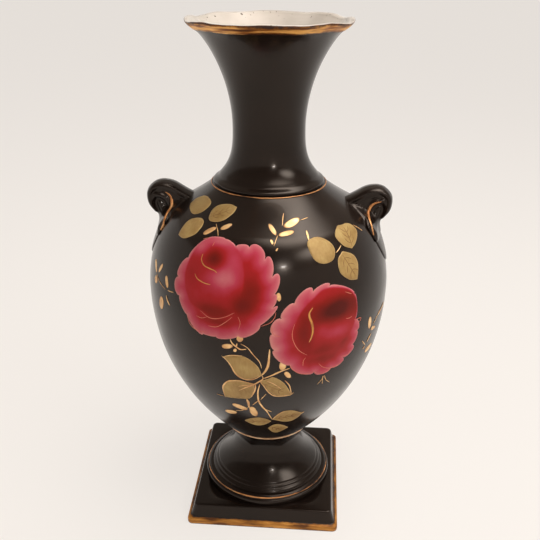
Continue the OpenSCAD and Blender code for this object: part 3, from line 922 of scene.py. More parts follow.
# %% Handles
voxel, softening, soft_passes, thin_edge, joint_reach = 0.00032, 0.5, 24, 0.01, 0.00001
strap = lofted("strap", leaf_rings, glaze, capped=True)
work = bmesh.new()
work.from_mesh(strap.data)
front, back = [
    [work.verts.new((x * MM, face * half * MM, z * MM)) for (x, z), half in zip(ear_spots, ear_half)]
    for face in (-1, 1)]
for i, j, k in ear_tris:
    work.faces.new((front[i], front[j], front[k]))
    work.faces.new((back[k], back[j], back[i]))
border = len(ear_outline)
for i in range(border):
    j = (i + 1) % border
    if max(ear_half[i], ear_half[j]) > thin_edge:
        work.faces.new((front[j], front[i], back[i], back[j]))
bmesh.ops.remove_doubles(work, verts=front + back, dist=joint_reach)
work.to_mesh(strap.data)
work.free()
fuse = strap.modifiers.new("fuse", "REMESH")
fuse.mode = "VOXEL"
fuse.voxel_size = voxel
soften = strap.modifiers.new("soften", "SMOOTH")
soften.factor = softening
soften.iterations = soft_passes
fused = bpy.data.meshes.new_from_object(strap.evaluated_get(bpy.context.evaluated_depsgraph_get()))
bpy.data.objects.remove(strap)
handle_pieces = {}
for side, name in ((1, "handle_right"), (-1, "handle_left")):
    mesh = fused.copy()
    mesh.transform(Matrix.Scale(side, 4, (1, 0, 0)))
    mesh.name = name + "_visual"
    mesh.materials.clear()
    mesh.materials.append(glaze)
    piece = tidied(placed(mesh.name, mesh))
    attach(piece, "root")
    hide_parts(name)
    handle_pieces[name] = piece
    print("%s: %d faces" % (piece.name, len(mesh.polygons)))

# %% [markdown]
# The gilding is bright gold brushed on by hand and fired, so its edges wander and rub away to brown. It
# could be a pattern in the glaze's own material, but real gilding is a layer, so each line is a thin mesh
# of its own. The point attribute "edge" runs from 0 in the middle of a line to 1 at its borders; where
# edge plus noise is high the gold has gone and the bare colour shows.

# %% Gold
def gold_material(name, bright, mid, brown, wear, rough=0.3, metal=0.85, streaks=(160, 160, 160), patchy=0.0,
                  bare=(32, 26, 23), spread=0.25):
    """Gold brushed on glaze; wear moves its border, patchy rubs whole stretches down to the bare colour."""
    made, tree, shader = new_material(name, IOR=1.4)
    place = object_place(tree)
    drawn = add(tree, "ShaderNodeMapping", {"Vector": place, "Scale": streaks}).outputs[0]
    stops = (0.5 - spread, brown), (0.5, mid), (0.5 + spread, bright)
    tone = ramp(tree, noise(tree, drawn, 1.0, 4), *stops)
    wander = maths(tree, "MULTIPLY_ADD", noise(tree, place, 330, 4), 1.2, -0.6)
    stretch = maths(tree, "MULTIPLY_ADD", noise(tree, place, 42, 2), 2 * patchy, -patchy)
    border = maths(tree, "ADD", maths(tree, "ADD", attribute(tree, "edge"), wander), stretch)
    gone = between(tree, border, 0.80 - wear, 0.97 - wear)
    rubbed = maths(tree, "MULTIPLY", between(tree, border, 0.35 - wear, 0.80 - wear), 0.75)
    tone = blend(tree, rubbed, tone, linear(brown))
    feed(tree, shader, {
        "Base Color": blend(tree, gone, tone, linear(bare)),
        "Metallic": maths(tree, "MULTIPLY_ADD", gone, -metal, metal),
        "Roughness": between(tree, noise(tree, place, 240), 0.3, 0.7, rough, rough + 0.15)})
    return made


print("gold: one recipe for all the gilding")

# %% [markdown]
# The lines on the roll of the foot and on the shoulder, and the band under the rim, are thin lens-shaped
# rings. They are turned on the same curves as the clay under them, by the same tree, so they ride on the
# same uneven wall. The line round the waist lies in the corner between two sections and is a round ring.

# %% Gilded bands
def band_outline(p, t0, t1, thickness=0.3, lift=0.05, sunk=0.1, steps=8):
    """Thin lens-shaped band on a cubic curve between two of its parameters, and the share across it."""
    run = curve(p, steps, t0, t1)
    shares = [abs(2 * k / steps - 1) for k in range(steps + 1)]
    face = [shifted(run, lift + thickness * (1 - share ** 4))[k] for k, share in enumerate(shares)]
    return face + shifted(run, -sunk)[::-1], shares + shares[::-1]


def gilded(name, p, t0, t1, z, material, node, **options):
    """A turned band of gilding that replaces a node of the part."""
    outline, shares = band_outline(p, t0, t1)
    share_at = dict(zip(outline, shares))
    rules = {"edge": lambda r, h: share_at[(r, h)], "rim": rim_share}
    piece = turned(name, outline, z, values=rules, Material=material, **options)
    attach(piece, "root")
    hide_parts(node)


line_gold = gold_material(
    "line_gold", (236, 182, 126), (214, 150, 94), (126, 72, 38), -0.05, metal=0.5, patchy=2.2)
rim_gold = gold_material(
    "rim_gold", (238, 180, 98), (160, 98, 38), (66, 35, 12), 0.04, rough=0.36, metal=0.45,
    streaks=(45, 45, 640), patchy=0.9, bare=(48, 25, 11), spread=0.11)
# The waist ring's gold is paler than that of the other lines. This is partly its own colour and partly
# painted light: it is lightened so that the ring stays bright where it faces down into shade.
ring_gold = gold_material(
    "ring_gold", (244, 212, 176), (226, 180, 138), (150, 96, 62), -0.1, rough=0.28, metal=0.4)
gilded("foot_line", roll, 0.15, 0.38, plinth_h, line_gold, "foot_gilding")
ring_r, ring_sides, ring_h = 0.55, 14, 0.35
ring_angles = [k * math.tau / ring_sides for k in range(ring_sides)]
ring = [(waist_r + ring_r * math.cos(a), ring_h + ring_r * math.sin(a)) for a in ring_angles]
ring_back_r, ring_fade, ring_uneven = 27.5, 0.8, 0.00015
ring_rules = {"edge": lambda r, h: smooth((ring_back_r - r) / ring_fade)}
waist_ring = turned(
    "waist_line", ring, waist_z, values=ring_rules, Material=ring_gold, Unevenness=ring_uneven)
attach(waist_ring, "root")
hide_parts("waist_gilding")
gilded("shoulder_line", shoulder, 0.959, 0.989, waist_z, line_gold, "shoulder_gilding")
gilded("rim_band", neck_high, 0.885, 0.9855, neck_z, rim_gold, "rim_gilding", **rim_shape)

# %% [markdown]
# A gold line follows the ridge of each ear and runs out along the leaf, on the front and on the back. Its
# path could be placed point by point on the skin, but it would float or sink as soon as the handle
# changed. So a tree takes a rough path, snaps it to the nearest skin of the handle, sinks it a little and
# sweeps a thin round brush mark along it that thins out at both ends.

# %% Line on the handle
def object_shape(tree, given_object):
    """Geometry of an object."""
    return add(tree, "GeometryNodeObjectInfo", {"Object": given_object}).outputs["Geometry"]


def at_nearest(tree, surface, value):
    """A vector of a surface, read where it is nearest."""
    return geo(tree, "SampleNearestSurface", {"Mesh": surface, "Value": value}, data_type="FLOAT_VECTOR")


tracing, given = new_tree(
    "line_on_handle", ("Handle", "Object", None), ("Radius", "Float", 0.00095), ("Sink", "Float", 0.0004),
    ("Material", "Material", None))
skin = object_shape(tracing, given["Handle"])
path = geo(tracing, "MeshToCurve", {"Mesh": given["Geometry"]})
path_steps, calm_passes, brush_sides = 60, 10, 10
fine = geo(tracing, "ResampleCurve", {"Curve": path, "Count": path_steps})
nearest = at_nearest(tracing, skin, geo(tracing, "InputPosition"))
facing = at_nearest(tracing, skin, geo(tracing, "InputNormal"))
sunk = scaled(tracing, facing, backwards(tracing, given["Sink"]))
snapped = moved(tracing, fine, Position=vector_maths(tracing, "ADD", nearest, sunk))
here = geo(tracing, "InputPosition")
calm = geo(tracing, "BlurAttribute", {"Value": here, "Iterations": calm_passes}, data_type="FLOAT_VECTOR")
eased_line = moved(tracing, snapped, Position=calm)
share = add(tracing, "GeometryNodeSplineParameter").outputs["Factor"]
swell_run, swell_start, swell_power = 2.9, 0.12, 0.45
swell = maths(tracing, "SINE", maths(tracing, "MULTIPLY_ADD", share, swell_run, swell_start))
swell = maths(tracing, "POWER", swell, swell_power)
brush_tip = {"Resolution": brush_sides, "Radius": given["Radius"]}
brush = geo(tracing, "CurvePrimitiveCircle", brush_tip, mode="RADIUS")
sweep = {"Curve": eased_line, "Profile Curve": brush, "Scale": swell, "Fill Caps": True}
mark = geo(tracing, "CurveToMesh", sweep)
close_tree(tracing, geo(tracing, "SetShadeSmooth", {"Geometry": mark}), given["Material"])
print("%s: %d nodes" % (tracing.name, len(tracing.nodes)))

# %% [markdown]
# The two handles carry their lines a little differently, as hand-brushed lines do. Each path is a few
# places (out from the axis, sideways, up) in millimetres, and is used twice: as it is for the front and
# mirrored for the back.

# %% Gold lines of the handles
handle_gold = gold_material("handle_gold", (222, 170, 116), (196, 134, 80), (134, 78, 42), 0.0, metal=0.45)
gold_paths = {
    "handle_right": [
        (64.6, 7.0, 203.5), (61.4, 7.6, 203.2), (58.6, 8, 201.2), (57.0, 8.4, 198.4), (56.6, 10.7, 196.2),
        (57.0, 14.5, 195.2), (58.0, 17.6, 193.0), (59.4, 19.0, 190.2), (60.6, 19.4, 187.0)],
    "handle_left": [
        (59.8, 7.2, 205.6), (57.0, 7.6, 204.4), (55.6, 8, 202.2), (55.0, 8.4, 199.6), (55.4, 11, 197.2),
        (56.2, 15.5, 195.4), (57.2, 19.0, 193.0), (58.6, 20.0, 189.8), (60.2, 20.0, 186.0)]}
for name, places in gold_paths.items():
    side = 1 if name.endswith("right") else -1
    marks = [(side * x * MM, face * y * MM, z * MM) for face in (-1, 1) for x, y, z in places]
    path_mesh = new_mesh(name + "_paths", marks, chain(len(places)) + chain(len(places), len(places)))
    settings = {"Handle": handle_pieces[name], "Material": handle_gold}
    piece = tidied(baked(name + "_line", path_mesh, tracing, settings))
    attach(piece, "root")
    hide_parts(name.replace("handle", "handle_gilding"))
    print("%s: %d faces" % (piece.name, len(piece.data.polygons)))

# %% [markdown]
# The flange of the plinth is gilded too, with long strokes of a broad brush. The gold could be a copy of
# the flange's faces, but it has a thickness and worn borders of its own, so the band is a thin closed
# ring lofted from rounded squares. The attribute "edge" again says how near a point is to the band's
# borders.

# %% Gilding of the plinth
flange_gold = gold_material(
    "flange_gold", (204, 144, 68), (170, 112, 44), (92, 52, 19), 0.05, rough=0.36, metal=0.4,
    streaks=(60, 60, 420), spread=0.15)
band_profile = [
    (46.9, 0.3, 3), (47.05, 0.5, 3), (47.15, 1.0, 3), (47.15, 2.0, 3), (47.15, 3.0, 3), (47.0, 3.55, 2.9),
    (46.6, 3.95, 2.7), (46.0, 4.05, 3), (45.6, 4.3, 3.6), (45.4, 4.7, 3.8), (45.1, 4.6, 3.8),
    (45.4, 4.0, 3.4), (46.3, 3.65, 2.6), (46.8, 3.0, 2.9), (46.85, 1.0, 3)]
band_shares = [1, 0.85, 0.5, 0.1, 0.0, 0.0, 0.05, 0.3, 0.7, 1, 1, 0.7, 0, 0, 0.5]
band_rings = [square_ring(*sizes) for sizes in band_profile]
plinth_band = lofted("plinth_band", band_rings, flange_gold, closed_loop=True)


def rounded(point):
    """A point as a key that can be looked up."""
    return tuple(round(v, 3) for v in point)


share_of = {rounded(p): share for ring, share in zip(band_rings, band_shares) for p in ring}
band_points = [rounded(vert.co / MM) for vert in plinth_band.data.vertices]
keep_values(plinth_band.data, "edge", [share_of.get(p, 0.5) for p in band_points])
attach(plinth_band, "root")
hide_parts("plinth_gilding")
print("plinth band: %d faces" % len(plinth_band.data.polygons))

# %% [markdown]
# The decoration is drawn flat, then laid on the wall. A place on the wall is written as a painter would
# find it: degrees round from the front, and millimetres up the wall from the waist. Each drawn piece has
# a meridian of its own; beside it, x is millimetres round and y is millimetres up, so shapes keep their
# size.

# %% Places on the wall
wall_steps = [0.0]
for (r0, h0), (r1, h1) in zip(body_face, body_face[1:]):
    wall_steps.append(wall_steps[-1] + math.hypot(r1 - r0, h1 - h0))


def wall_radius(up):
    """Radius of the wall at a length up the wall from the waist, in millimetres."""
    return float(np.interp(up, wall_steps, [p[0] for p in body_face]))


wall_points = [(r * MM, (h + waist_z) * MM, 0) for r, h in body_face]
wall_mesh = new_mesh("wall_profile", wall_points, chain(len(wall_points)))
wall_profile = bpy.data.objects.new("wall_profile", wall_mesh)
print("wall: %.0f mm from waist to neck" % wall_steps[-1])

# %% [markdown]
# A Shrinkwrap modifier could press the drawing on the wall, but it would stretch it towards the sides.
# This tree rolls it on instead: it looks up the wall's radius and slope at y, turns x into an angle,
# lifts the paint off the glaze and gives it a thickness, so that each patch is a closed thin shell.

# %% Laying paint on the wall
laying, given = new_tree(
    "paint_on_wall", ("Wall profile", "Object", None), ("Thickness", "Float", 0.0001),
    ("Unevenness", "Float", uneven), ("Grain", "Float", 40.0), ("Material", "Material", None))
wall_curve = geo(laying, "MeshToCurve", {"Mesh": object_shape(laying, given["Wall profile"])})
across, upwards, _ = split(laying, geo(laying, "InputPosition"))
found = add(laying, "GeometryNodeSampleCurve", mode="LENGTH", use_all_curves=True)
feed(laying, found, {"Curves": wall_curve, "Length": upwards})
spot_r, spot_h, _ = split(laying, found.outputs["Position"])
slope_r, slope_h, _ = split(laying, found.outputs["Tangent"])
lift = point_value(laying, "lift")
radius = maths(laying, "MULTIPLY_ADD", lift, slope_h, spot_r)
height = maths(laying, "SUBTRACT", spot_h, maths(laying, "MULTIPLY", lift, slope_r))
angle = maths(laying, "ADD", point_value(laying, "meridian"), maths(laying, "DIVIDE", across, spot_r))
laid_at = joined(
    laying, maths(laying, "MULTIPLY", radius, maths(laying, "SINE", angle)),
    maths(laying, "MULTIPLY", radius, backwards(laying, maths(laying, "COSINE", angle))), height)
laid = moved(laying, given["Geometry"], Position=laid_at)
under = pulled_in(laying, laid, given["Unevenness"], given["Grain"])
rise = {"Mesh": under, "Offset Scale": given["Thickness"], "Individual": False}
risen = geo(laying, "ExtrudeMesh", rise, mode="FACES")
shell = add(laying, "GeometryNodeJoinGeometry")
for side in (risen, geo(laying, "FlipFaces", {"Mesh": under})):
    feed(laying, shell, {0: side})
sealed = welded(laying, shell.outputs[0])
close_tree(laying, geo(laying, "SetShadeSmooth", {"Geometry": sealed}), given["Material"])
print("%s: %d nodes" % (laying.name, len(laying.nodes)))

# %% [markdown]
# A painted piece has many patches: all the leaves, or all the stems. They are gathered in one flat mesh,
# and each point keeps the meridian and the lift of its own patch, so the tree lays them all in one go.

# %% From drawing to paint
film_lift, film_thickness = 0.02, 0.1


def beside(points, meridian):
    """Places (degrees, mm up) as flat (mm round, mm up) beside a meridian."""
    return [(math.radians(deg - meridian) * wall_radius(up), up) for deg, up in points]


def middle(points):
    """Meridian in the middle of places on the wall."""
    return sum(p[0] for p in points) / len(points)


def on_wall(name, flat_mesh, material, thickness):
    """A painted object from a flat mesh; the thickness is in millimetres."""
    piece = baked(name, flat_mesh, laying, {
        "Wall profile": wall_profile, "Thickness": thickness * MM, "Material": material})
    print("%s: %d faces" % (name, len(piece.data.polygons)))
    return piece


def laid_on(name, patches, material):
    """One painted object from flat patches (points, faces, meridian, lift in mm, {name: values})."""
    points, faces, values = [], [], {}
    for spots, patch_faces, meridian, lift_mm, own in patches:
        start = len(points)
        points += spots
        faces += [tuple(start + i for i in face) for face in patch_faces]
        count = len(spots)
        common = {"meridian": [math.radians(meridian)] * count, "lift": [lift_mm * MM] * count}
        for key, numbers in {**common, **own}.items():
            values.setdefault(key, []).extend(numbers)
    mesh = new_mesh(name + "_flat", [(x * MM, y * MM, 0) for x, y in points], faces=faces)
    work = bmesh.new()
    work.from_mesh(mesh)
    for face in work.faces:
        if face.normal.z < 0:
            face.normal_flip()
    work.to_mesh(mesh)
    work.free()
    for key, numbers in values.items():
        keep_values(mesh, key, numbers)
    piece = on_wall(name, mesh, material, film_thickness)
    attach(piece, "root")
    return piece


print("paint is laid by %s" % laying.name)

# %% [markdown]
# A rose is painted wet in wet, so it is one patch of enamel with soft passages, and only its outer edge
# is sharp. The point attribute "tone" runs from pale pink to maroon. Single petals could be cut out and
# stacked, but their hard edges would look like paper. So the tone is built as a painter builds it: a
# round of scalloped petals that are paler towards the edge, the egg of the bud over it, then soft touches
# of dark and light in each. The bud's border is a short blend between the two, so that it fades where
# both are dark.

# %% Painting a rose
def lobed(points, steps=9):
    """Closed outline of scallops; points alternate between the notches and the tips of the petals."""
    out = []
    for i in range(0, len(points), 2):
        a, tip, b = [Vector(points[(i + k) % len(points)]) for k in range(3)]
        bulge = (tip - (a + b) / 2) * 4 / 3
        out += curve([a, a + bulge, b + bulge, b], steps)[:-1]
    return out


def touched(spots, meridian, touches):
    """Sum of soft touches (degrees, mm up, spread round, spread up, amount) at flat spots."""
    across, up = np.array(spots).T
    tone = np.zeros(len(spots))
    for deg, height, wide, tall, amount in touches:
        x, y = beside([(deg, height)], meridian)[0]
        tone += amount * hump(across, x, wide) * hump(up, y, tall)
    return tone


rose_spacing, petal_reach, edge_tone, depth_tone, bud_tone = 0.65, 8.5, 0.04, 0.46, 0.5
bud_border, bud_blend = 0.5, 1.3


def rose(name, meridian, petals, petal_touches, bud, bud_touches, material):
    """A painted rose: petals that pale towards the edge, blended into the bud."""
    outline = lobed(beside(petals, meridian))
    bud_line = through(beside(bud, meridian), True)
    spots, tris = filled(outline, rose_spacing)
    depth = np.clip(edge_distance(spots, outline) / petal_reach, 0, 1) ** 0.7
    petal_tones = edge_tone + depth_tone * depth + touched(spots, meridian, petal_touches)
    bud_tones = bud_tone + touched(spots, meridian, bud_touches)
    within = edge_distance(spots, bud_line) * np.where(inside(spots, bud_line), 1, -1)
    share = smooth((within + bud_border) / bud_blend)
    tones = np.clip(mix(petal_tones, bud_tones, share), 0, 1)
    laid_on(name, [(spots, tris, meridian, film_lift, {"tone": tones})], material)


print("rose: petals, bud and touches")

# %% [markdown]
# The enamel itself is a plain gloss colour. It reads the tone of each point and lets it wander a little,
# as colour does in a wet brush stroke.

# %% Rose enamel
def rose_material():
    """Rose enamel, from pale pink to maroon by the attribute "tone"."""
    made, tree, shader = new_material("rose_enamel", IOR=1.22, Roughness=0.3)
    wander = maths(tree, "MULTIPLY_ADD", noise(tree, object_place(tree), 190, 4), 0.12, -0.06)
    tone = maths(tree, "ADD", attribute(tree, "tone"), wander)
    colour = ramp(tree, tone, (0.0, (202, 136, 130)), (0.16, (186, 96, 106)), (0.34, (174, 58, 78)),
                  (0.52, (157, 33, 37)), (0.72, (126, 27, 20)), (1.0, (78, 21, 15)))
    feed(tree, shader, {"Base Color": colour})
    return made


rose_enamel = rose_material()
print("material:", rose_enamel.name)

# %% [markdown]
# The left rose sits high on the front. Petals are written as notches and tips in turn, the bud as a
# smooth egg; each touch has a place, a spread round and up, and an amount, where more is darker.

# %% Left rose
left_petals = [
    (-12.5, 154.5), (-9, 156.5), (-5.5, 155), (0, 156), (2.5, 149), (6, 149), (6, 140.5), (9.5, 140),
    (7, 131.5), (8, 129), (6, 124.5), (7.5, 123), (1, 115), (-3, 109), (-8.5, 108), (-14, 105),
    (-18.5, 105.5), (-22.5, 105), (-25, 105.5), (-29, 106.5), (-33.5, 113.5), (-37.5, 118.5), (-38, 122.5),
    (-42.5, 126.5), (-40.5, 132.5), (-41.5, 137.5), (-37, 144), (-34.5, 151), (-29.5, 156), (-25, 158.5),
    (-19, 158), (-15, 157)]
left_bud = [
    (-25.5, 158), (-13.5, 155.5), (-8, 148), (-6.5, 135.5), (-10.5, 121.5), (-18.5, 116), (-25.5, 118.5),
    (-32.5, 122.5), (-37, 135), (-34, 151)]
left_petal_touches = [
    (-3.0, 133.0, 7, 9, 0.24),
    (-7.5, 124.5, 7, 6, 0.28),
    (-17.5, 114.5, 9, 3, 0.2),
    (-2.0, 150.0, 7, 6, 0.06)]
left_bud_touches = [
    (-22.5, 147.0, 5.5, 5, 0.4),
    (-32.0, 138.5, 5, 7, 0.1),
    (-32.0, 151.5, 6, 4, -0.3),
    (-20.5, 156.5, 10, 3, -0.32),
    (-12.5, 147.0, 5, 6, -0.16),
    (-16.0, 137.5, 8, 5.5, -0.36),
    (-19.5, 120.0, 11, 5, 0.28),
    (-7.5, 126.0, 5, 7, 0.3)]
rose("rose_left", -17.0, left_petals, left_petal_touches, left_bud, left_bud_touches, rose_enamel)

# %% [markdown]
# The right rose sits lower and turns to the side. It is painted in the same way, with a darker heart and
# a pale outer round of petals on its left.

# %% Right rose
right_petals = [
    (32, 132.5), (30, 134.5), (24, 131.5), (20.5, 133), (15.5, 126.5), (11, 123.5), (10, 118.5), (6, 116),
    (6, 110), (5, 105.5), (7, 100.5), (8, 94.5), (14, 90), (19.5, 83), (26, 83), (30, 79.5), (35, 82.5),
    (40.5, 83), (41, 87), (46.5, 89), (46, 93.5), (48.5, 98.5), (47, 102), (49, 105), (46, 110), (47, 118),
    (45.5, 124.5), (40, 130.5)]
right_bud = [
    (23.5, 127.5), (30.5, 132), (42, 128.5), (47, 119), (45, 106), (39.5, 99.5), (32, 94), (23, 94),
    (16.5, 101.5), (15, 111), (18, 121)]
right_petal_touches = [
    (15.0, 122.0, 7, 6, -0.08),
    (28.0, 90.0, 9, 4, 0.12),
    (43.0, 97.0, 5, 8, 0.1),
    (9.0, 106.0, 5, 14, -0.14),
    (34.0, 98.0, 20, 20, 0.13)]
right_bud_touches = [
    (37.0, 120.0, 8, 6, 0.5),
    (28.0, 119.0, 8, 5.5, 0.26),
    (19.5, 109.0, 4.5, 10, 0.22),
    (36.0, 106.5, 8, 5, -0.24),
    (28.0, 109.0, 5, 5, -0.12),
    (28.0, 97.0, 10, 3.5, 0.12),
    (45.5, 120.0, 4, 8, 0.18),
    (32.0, 108.0, 20, 24, 0.12)]
rose("rose_right", 27.0, right_petals, right_petal_touches, right_bud, right_bud_touches, rose_enamel)

# %% [markdown]
# Leaves, stems and berries are gold. The leaves are matt gold, scratched with a pointed stick; noise in
# soft clouds and fine streaks gives their worn look. The attribute "edge" is 1 at the border of a patch
# and falls to 0 inside it, and makes the border a little brighter.

# %% Matt gold
def leaf_gold_material():
    """Matt gold in soft clouds and fine streaks, brighter along its border."""
    made, tree, shader = new_material("leaf_gold", IOR=1.35, Metallic=0.2)
    place = object_place(tree)
    cloud = noise(tree, place, 120, 3)
    streak = add(tree, "ShaderNodeMapping", {"Vector": place, "Scale": (900, 900, 160)}).outputs[0]
    grain = maths(tree, "MULTIPLY", noise(tree, streak, 1.0, 2), 0.3)
    tone = maths(tree, "ADD", maths(tree, "MULTIPLY", cloud, 0.7), grain)
    colour = ramp(tree, tone, (0.3, (138, 108, 60)), (0.48, (160, 130, 79)), (0.7, (178, 153, 99)))
    border = between(tree, attribute(tree, "edge"), 0.45, 1.0, 0, 0.55)
    feed(tree, shader, {
        "Base Color": blend(tree, border, colour, linear((206, 172, 118))),
        "Roughness": between(tree, cloud, 0.3, 0.7, 0.38, 0.55)})
    return made


leaf_gold = leaf_gold_material()
print("material:", leaf_gold.name)

# %% [markdown]
# A leaf is a closed outline with a sharp tip, and most have a sharp base too. One smooth path through all
# its points would round the tips off, so the corners are named by their numbers and the path is smooth
# only between them.

# %% Gold leaves
def pointed(points, corners):
    """A closed outline, smooth but for its corners, which are given by their numbers in the list."""
    if not corners:
        return through(points, True, 4)
    out = []
    for start, end in zip(corners, corners[1:] + (corners[0] + len(points),)):
        out += through([points[k % len(points)] for k in range(start, end + 1)], False, 4)[:-1]
    return out


def patch(corners, places, spacing=0.9, edge_reach=1.1):
    """A filled patch with its "edge" values, through places on the wall."""
    meridian = middle(places)
    outline = pointed(beside(places, meridian), corners)
    spots, tris = filled(outline, spacing)
    edge = 1 - np.clip(edge_distance(spots, outline) / edge_reach, 0, 1)
    return spots, tris, meridian, film_lift, {"edge": edge}


leaves = [
    ((0,), [(-69, 170), (-70, 174.5), (-62.5, 179), (-51.5, 178.5), (-47, 175.5), (-48.5, 169.5),
     (-54, 166.5), (-63.5, 168)]),
    ((4,), [(-37.5, 167.5), (-41, 173), (-39, 177.5), (-29.5, 180), (-22, 179), (-22.5, 175), (-26.5, 169.5),
     (-32, 167)]),
    ((0,), [(-50.5, 152.5), (-51, 157), (-51, 163), (-44.5, 166.5), (-39, 164.5), (-38, 158), (-41, 154.5),
     (-45.5, 152)]),
    ((4,), [(52, 162), (58, 161), (60, 155.5), (55, 150.5), (50, 148), (45, 151), (42.5, 157), (48, 162)]),
    ((), [(26, 158), (31.5, 159), (37, 155.5), (39, 150.5), (36.5, 145.5), (31, 144.5), (26.5, 147.5),
     (24.5, 154.5)]),
    ((3,), [(44, 148), (49.5, 144.5), (51, 139), (48.5, 131.5), (43.5, 133), (39, 138), (39, 144.5),
     (42, 147.5)]),
    ((0, 4), [(-16, 93.5), (-13, 89.5), (-10, 82.5), (-5.5, 79.5), (1.5, 83.5), (-0.5, 90), (-6, 95.5),
     (-12.5, 95)]),
    ((0, 4), [(-2, 76), (-8.5, 78), (-15, 76), (-18.5, 69), (-18.5, 61.5), (-10.5, 62.5), (-4, 65)]),
    ((0, 4), [(0.5, 79), (4.5, 81), (7, 82), (12, 77), (16, 67.5), (10.5, 66.5), (7.5, 67.5), (2, 75.5)]),
    ((0, 5), [(7, 41.5), (9, 46), (11.5, 49.5), (15.5, 51), (19.5, 50), (25.5, 45.5), (24, 41), (20, 37),
     (14.5, 37.5), (10, 40)]),
    ((0, 4), [(-11, 37.5), (-7, 41), (-1.5, 43.5), (3, 42), (6.5, 39), (3, 34.5), (-2.5, 32), (-7.5, 34)]),
    ((0, 4), [(4.5, 28), (7.5, 32.5), (11, 34), (15.5, 31.5), (20, 26.5), (16.5, 22), (12, 18.5), (8, 21)])]
gold_leaves = laid_on("gold_leaves", [patch(corners, places) for corners, places in leaves], leaf_gold)

# %% [markdown]
# Stems, veins and contour lines are strokes of a fine brush: a ribbon along a path that swells from a
# thin start and thins out again at its end. A curve with a bevel would make a wire; a flat ribbon, laid
# on the wall as the leaves are, makes paint.

# %% Gold strokes
def stroke(places, width, lift_mm=0.1, taper=0.15, steps=8):
    """A ribbon along places on the wall; its ends thin out to taper of the width."""
    meridian = middle(places)
    path = through(beside(places, meridian), False, steps)
    shares = (-1, -0.5, 0, 0.5, 1)
    row = len(shares)
    spots, faces = [], []
    for i, (x, y) in enumerate(path):
        dx, dy = direction(path, i)
        swell = mix(taper, 1, math.sin(math.pi * i / (len(path) - 1)) ** 0.6) * width / 2
        spots += [(x - dy * swell * share, y + dx * swell * share) for share in shares]
    for i in range(len(path) - 1):
        a, b = row * i, row * (i + 1)
        faces += [(a + k, a + k + 1, b + k + 1, b + k) for k in range(row - 1)]
    return spots, faces, meridian, lift_mm, {"edge": [abs(share) for share in shares] * len(path)}


bright_gold = gold_material("bright_gold", (248, 214, 160), (232, 188, 130), (186, 130, 84), -0.15, metal=0.4)
pink_gold = gold_material(
    "pink_gold", (224, 152, 120), (206, 120, 96), (184, 86, 72), -0.1, metal=0.15, bare=(160, 44, 46))
deep_gold = gold_material(
    "deep_gold", (228, 172, 98), (204, 142, 72), (150, 84, 44), -0.05, metal=0.3, bare=(140, 40, 30))
vein_brown = gold_material(
    "vein_brown", (150, 116, 66), (130, 94, 50), (104, 68, 36), -0.15, rough=0.5, metal=0.1,
    bare=(156, 126, 74))
print("strokes: four golds")

# %% [markdown]
# The veins are scratched into some of the leaves and show brown. Drawn one by one they would fill a page;
# a rule sets a midrib from base to tip and pairs of side veins along it.

# %% Veins of the leaves
def veins(base, tip, pairs=3, reach=3.4, width=0.35):
    """Scratched veins of a leaf, from its base to its tip: the midrib and pairs of side veins."""
    per_mm = math.degrees(1 / wall_radius((base[1] + tip[1]) / 2))
    root = Vector((base[0] / per_mm, base[1]))
    along = Vector((tip[0] / per_mm, tip[1])) - root
    way = along.normalized()
    aside = Vector((-way.y, way.x))
    lines = [(root, root + along * 0.5, root + along * 0.95)]
    for k in range(pairs):
        start = root + along * (k + 0.5) / (pairs + 0.8)
        for hand in (-1, 1):
            lines.append((start, start + way * reach * 0.4 + aside * hand * reach * 0.6,
                          start + way * reach + aside * hand * reach))
    return [([(p.x * per_mm, p.y) for p in line], width) for line in lines]


leaf_veins = (
    veins((50.5, 149.0), (52.0, 161.0)) + veins((42.5, 146.5), (48.0, 133.0))
    + veins((6.5, 30.5), (15.5, 23.5), 2, 2.4, 0.7) + veins((9.0, 42.0), (23.5, 45.0), 3, 2.6, 0.45)
    + veins((4.5, 38.5), (-9.0, 37.5), 3, 2.4, 0.45) + veins((-38.5, 169.0), (-24.0, 178.0), 3, 2.6, 0.25)
    + veins((1.5, 77.5), (13.5, 69.0), 3, 2.6))
piece = laid_on("leaf_veins", [stroke(places, width) for places, width in leaf_veins], vein_brown)

# %% [markdown]
# Thin pinkish lines follow the petals of the roses, and deeper gold curls lie in the buds. Each line is a
# few places on the wall and a width in millimetres.

# %% Lines of the roses
rose_lines = [
    ([(-26, 118.5), (-22, 116), (-18.5, 116), (-14, 118), (-10, 121)], 0.7),
    ([(-28, 115), (-25.5, 114.5), (-22.5, 116)], 0.5),
    ([(-22, 111), (-18, 111.5), (-14, 115), (-11, 118.5)], 0.6),
    ([(-8.5, 119), (-7.5, 115.5), (-8.5, 111)], 0.6), ([(-25, 153), (-24.5, 155.5)], 0.7),
    ([(-33, 113), (-32, 109), (-28.5, 106.5), (-22.5, 107)], 0.6),
    ([(1, 114.5), (5, 116.5), (7, 119.5), (7.5, 122.5)], 0.5), ([(-32, 155.5), (-28.5, 157)], 0.5),
    ([(15.5, 115.5), (14.5, 110.5), (15, 105.5), (17.5, 99.5), (21.5, 95.5)], 0.7),
    ([(20, 88.5), (20, 92), (21, 94)], 0.6),
    ([(27.5, 88.5), (30, 85), (34.5, 82.5), (39, 83), (41.5, 84.5)], 0.7),
    ([(40, 112.5), (42, 112), (43.5, 112.5)], 0.6), ([(45, 109.5), (49.5, 109), (48.5, 106.5)], 0.8),
    ([(5.5, 115), (6, 111.5), (6.5, 110)], 0.6), ([(6.5, 110), (8, 109), (9.5, 108.5)], 0.5),
    ([(14, 90.5), (15, 87.5), (18, 84), (21.5, 82.5), (25.5, 83)], 0.6),
    ([(26, 82.5), (30, 80), (34.5, 81.5)], 0.5), ([(39.5, 88.5), (43.5, 88), (45.5, 90.5)], 0.6),
    ([(40, 127.5), (44, 125)], 0.5)]
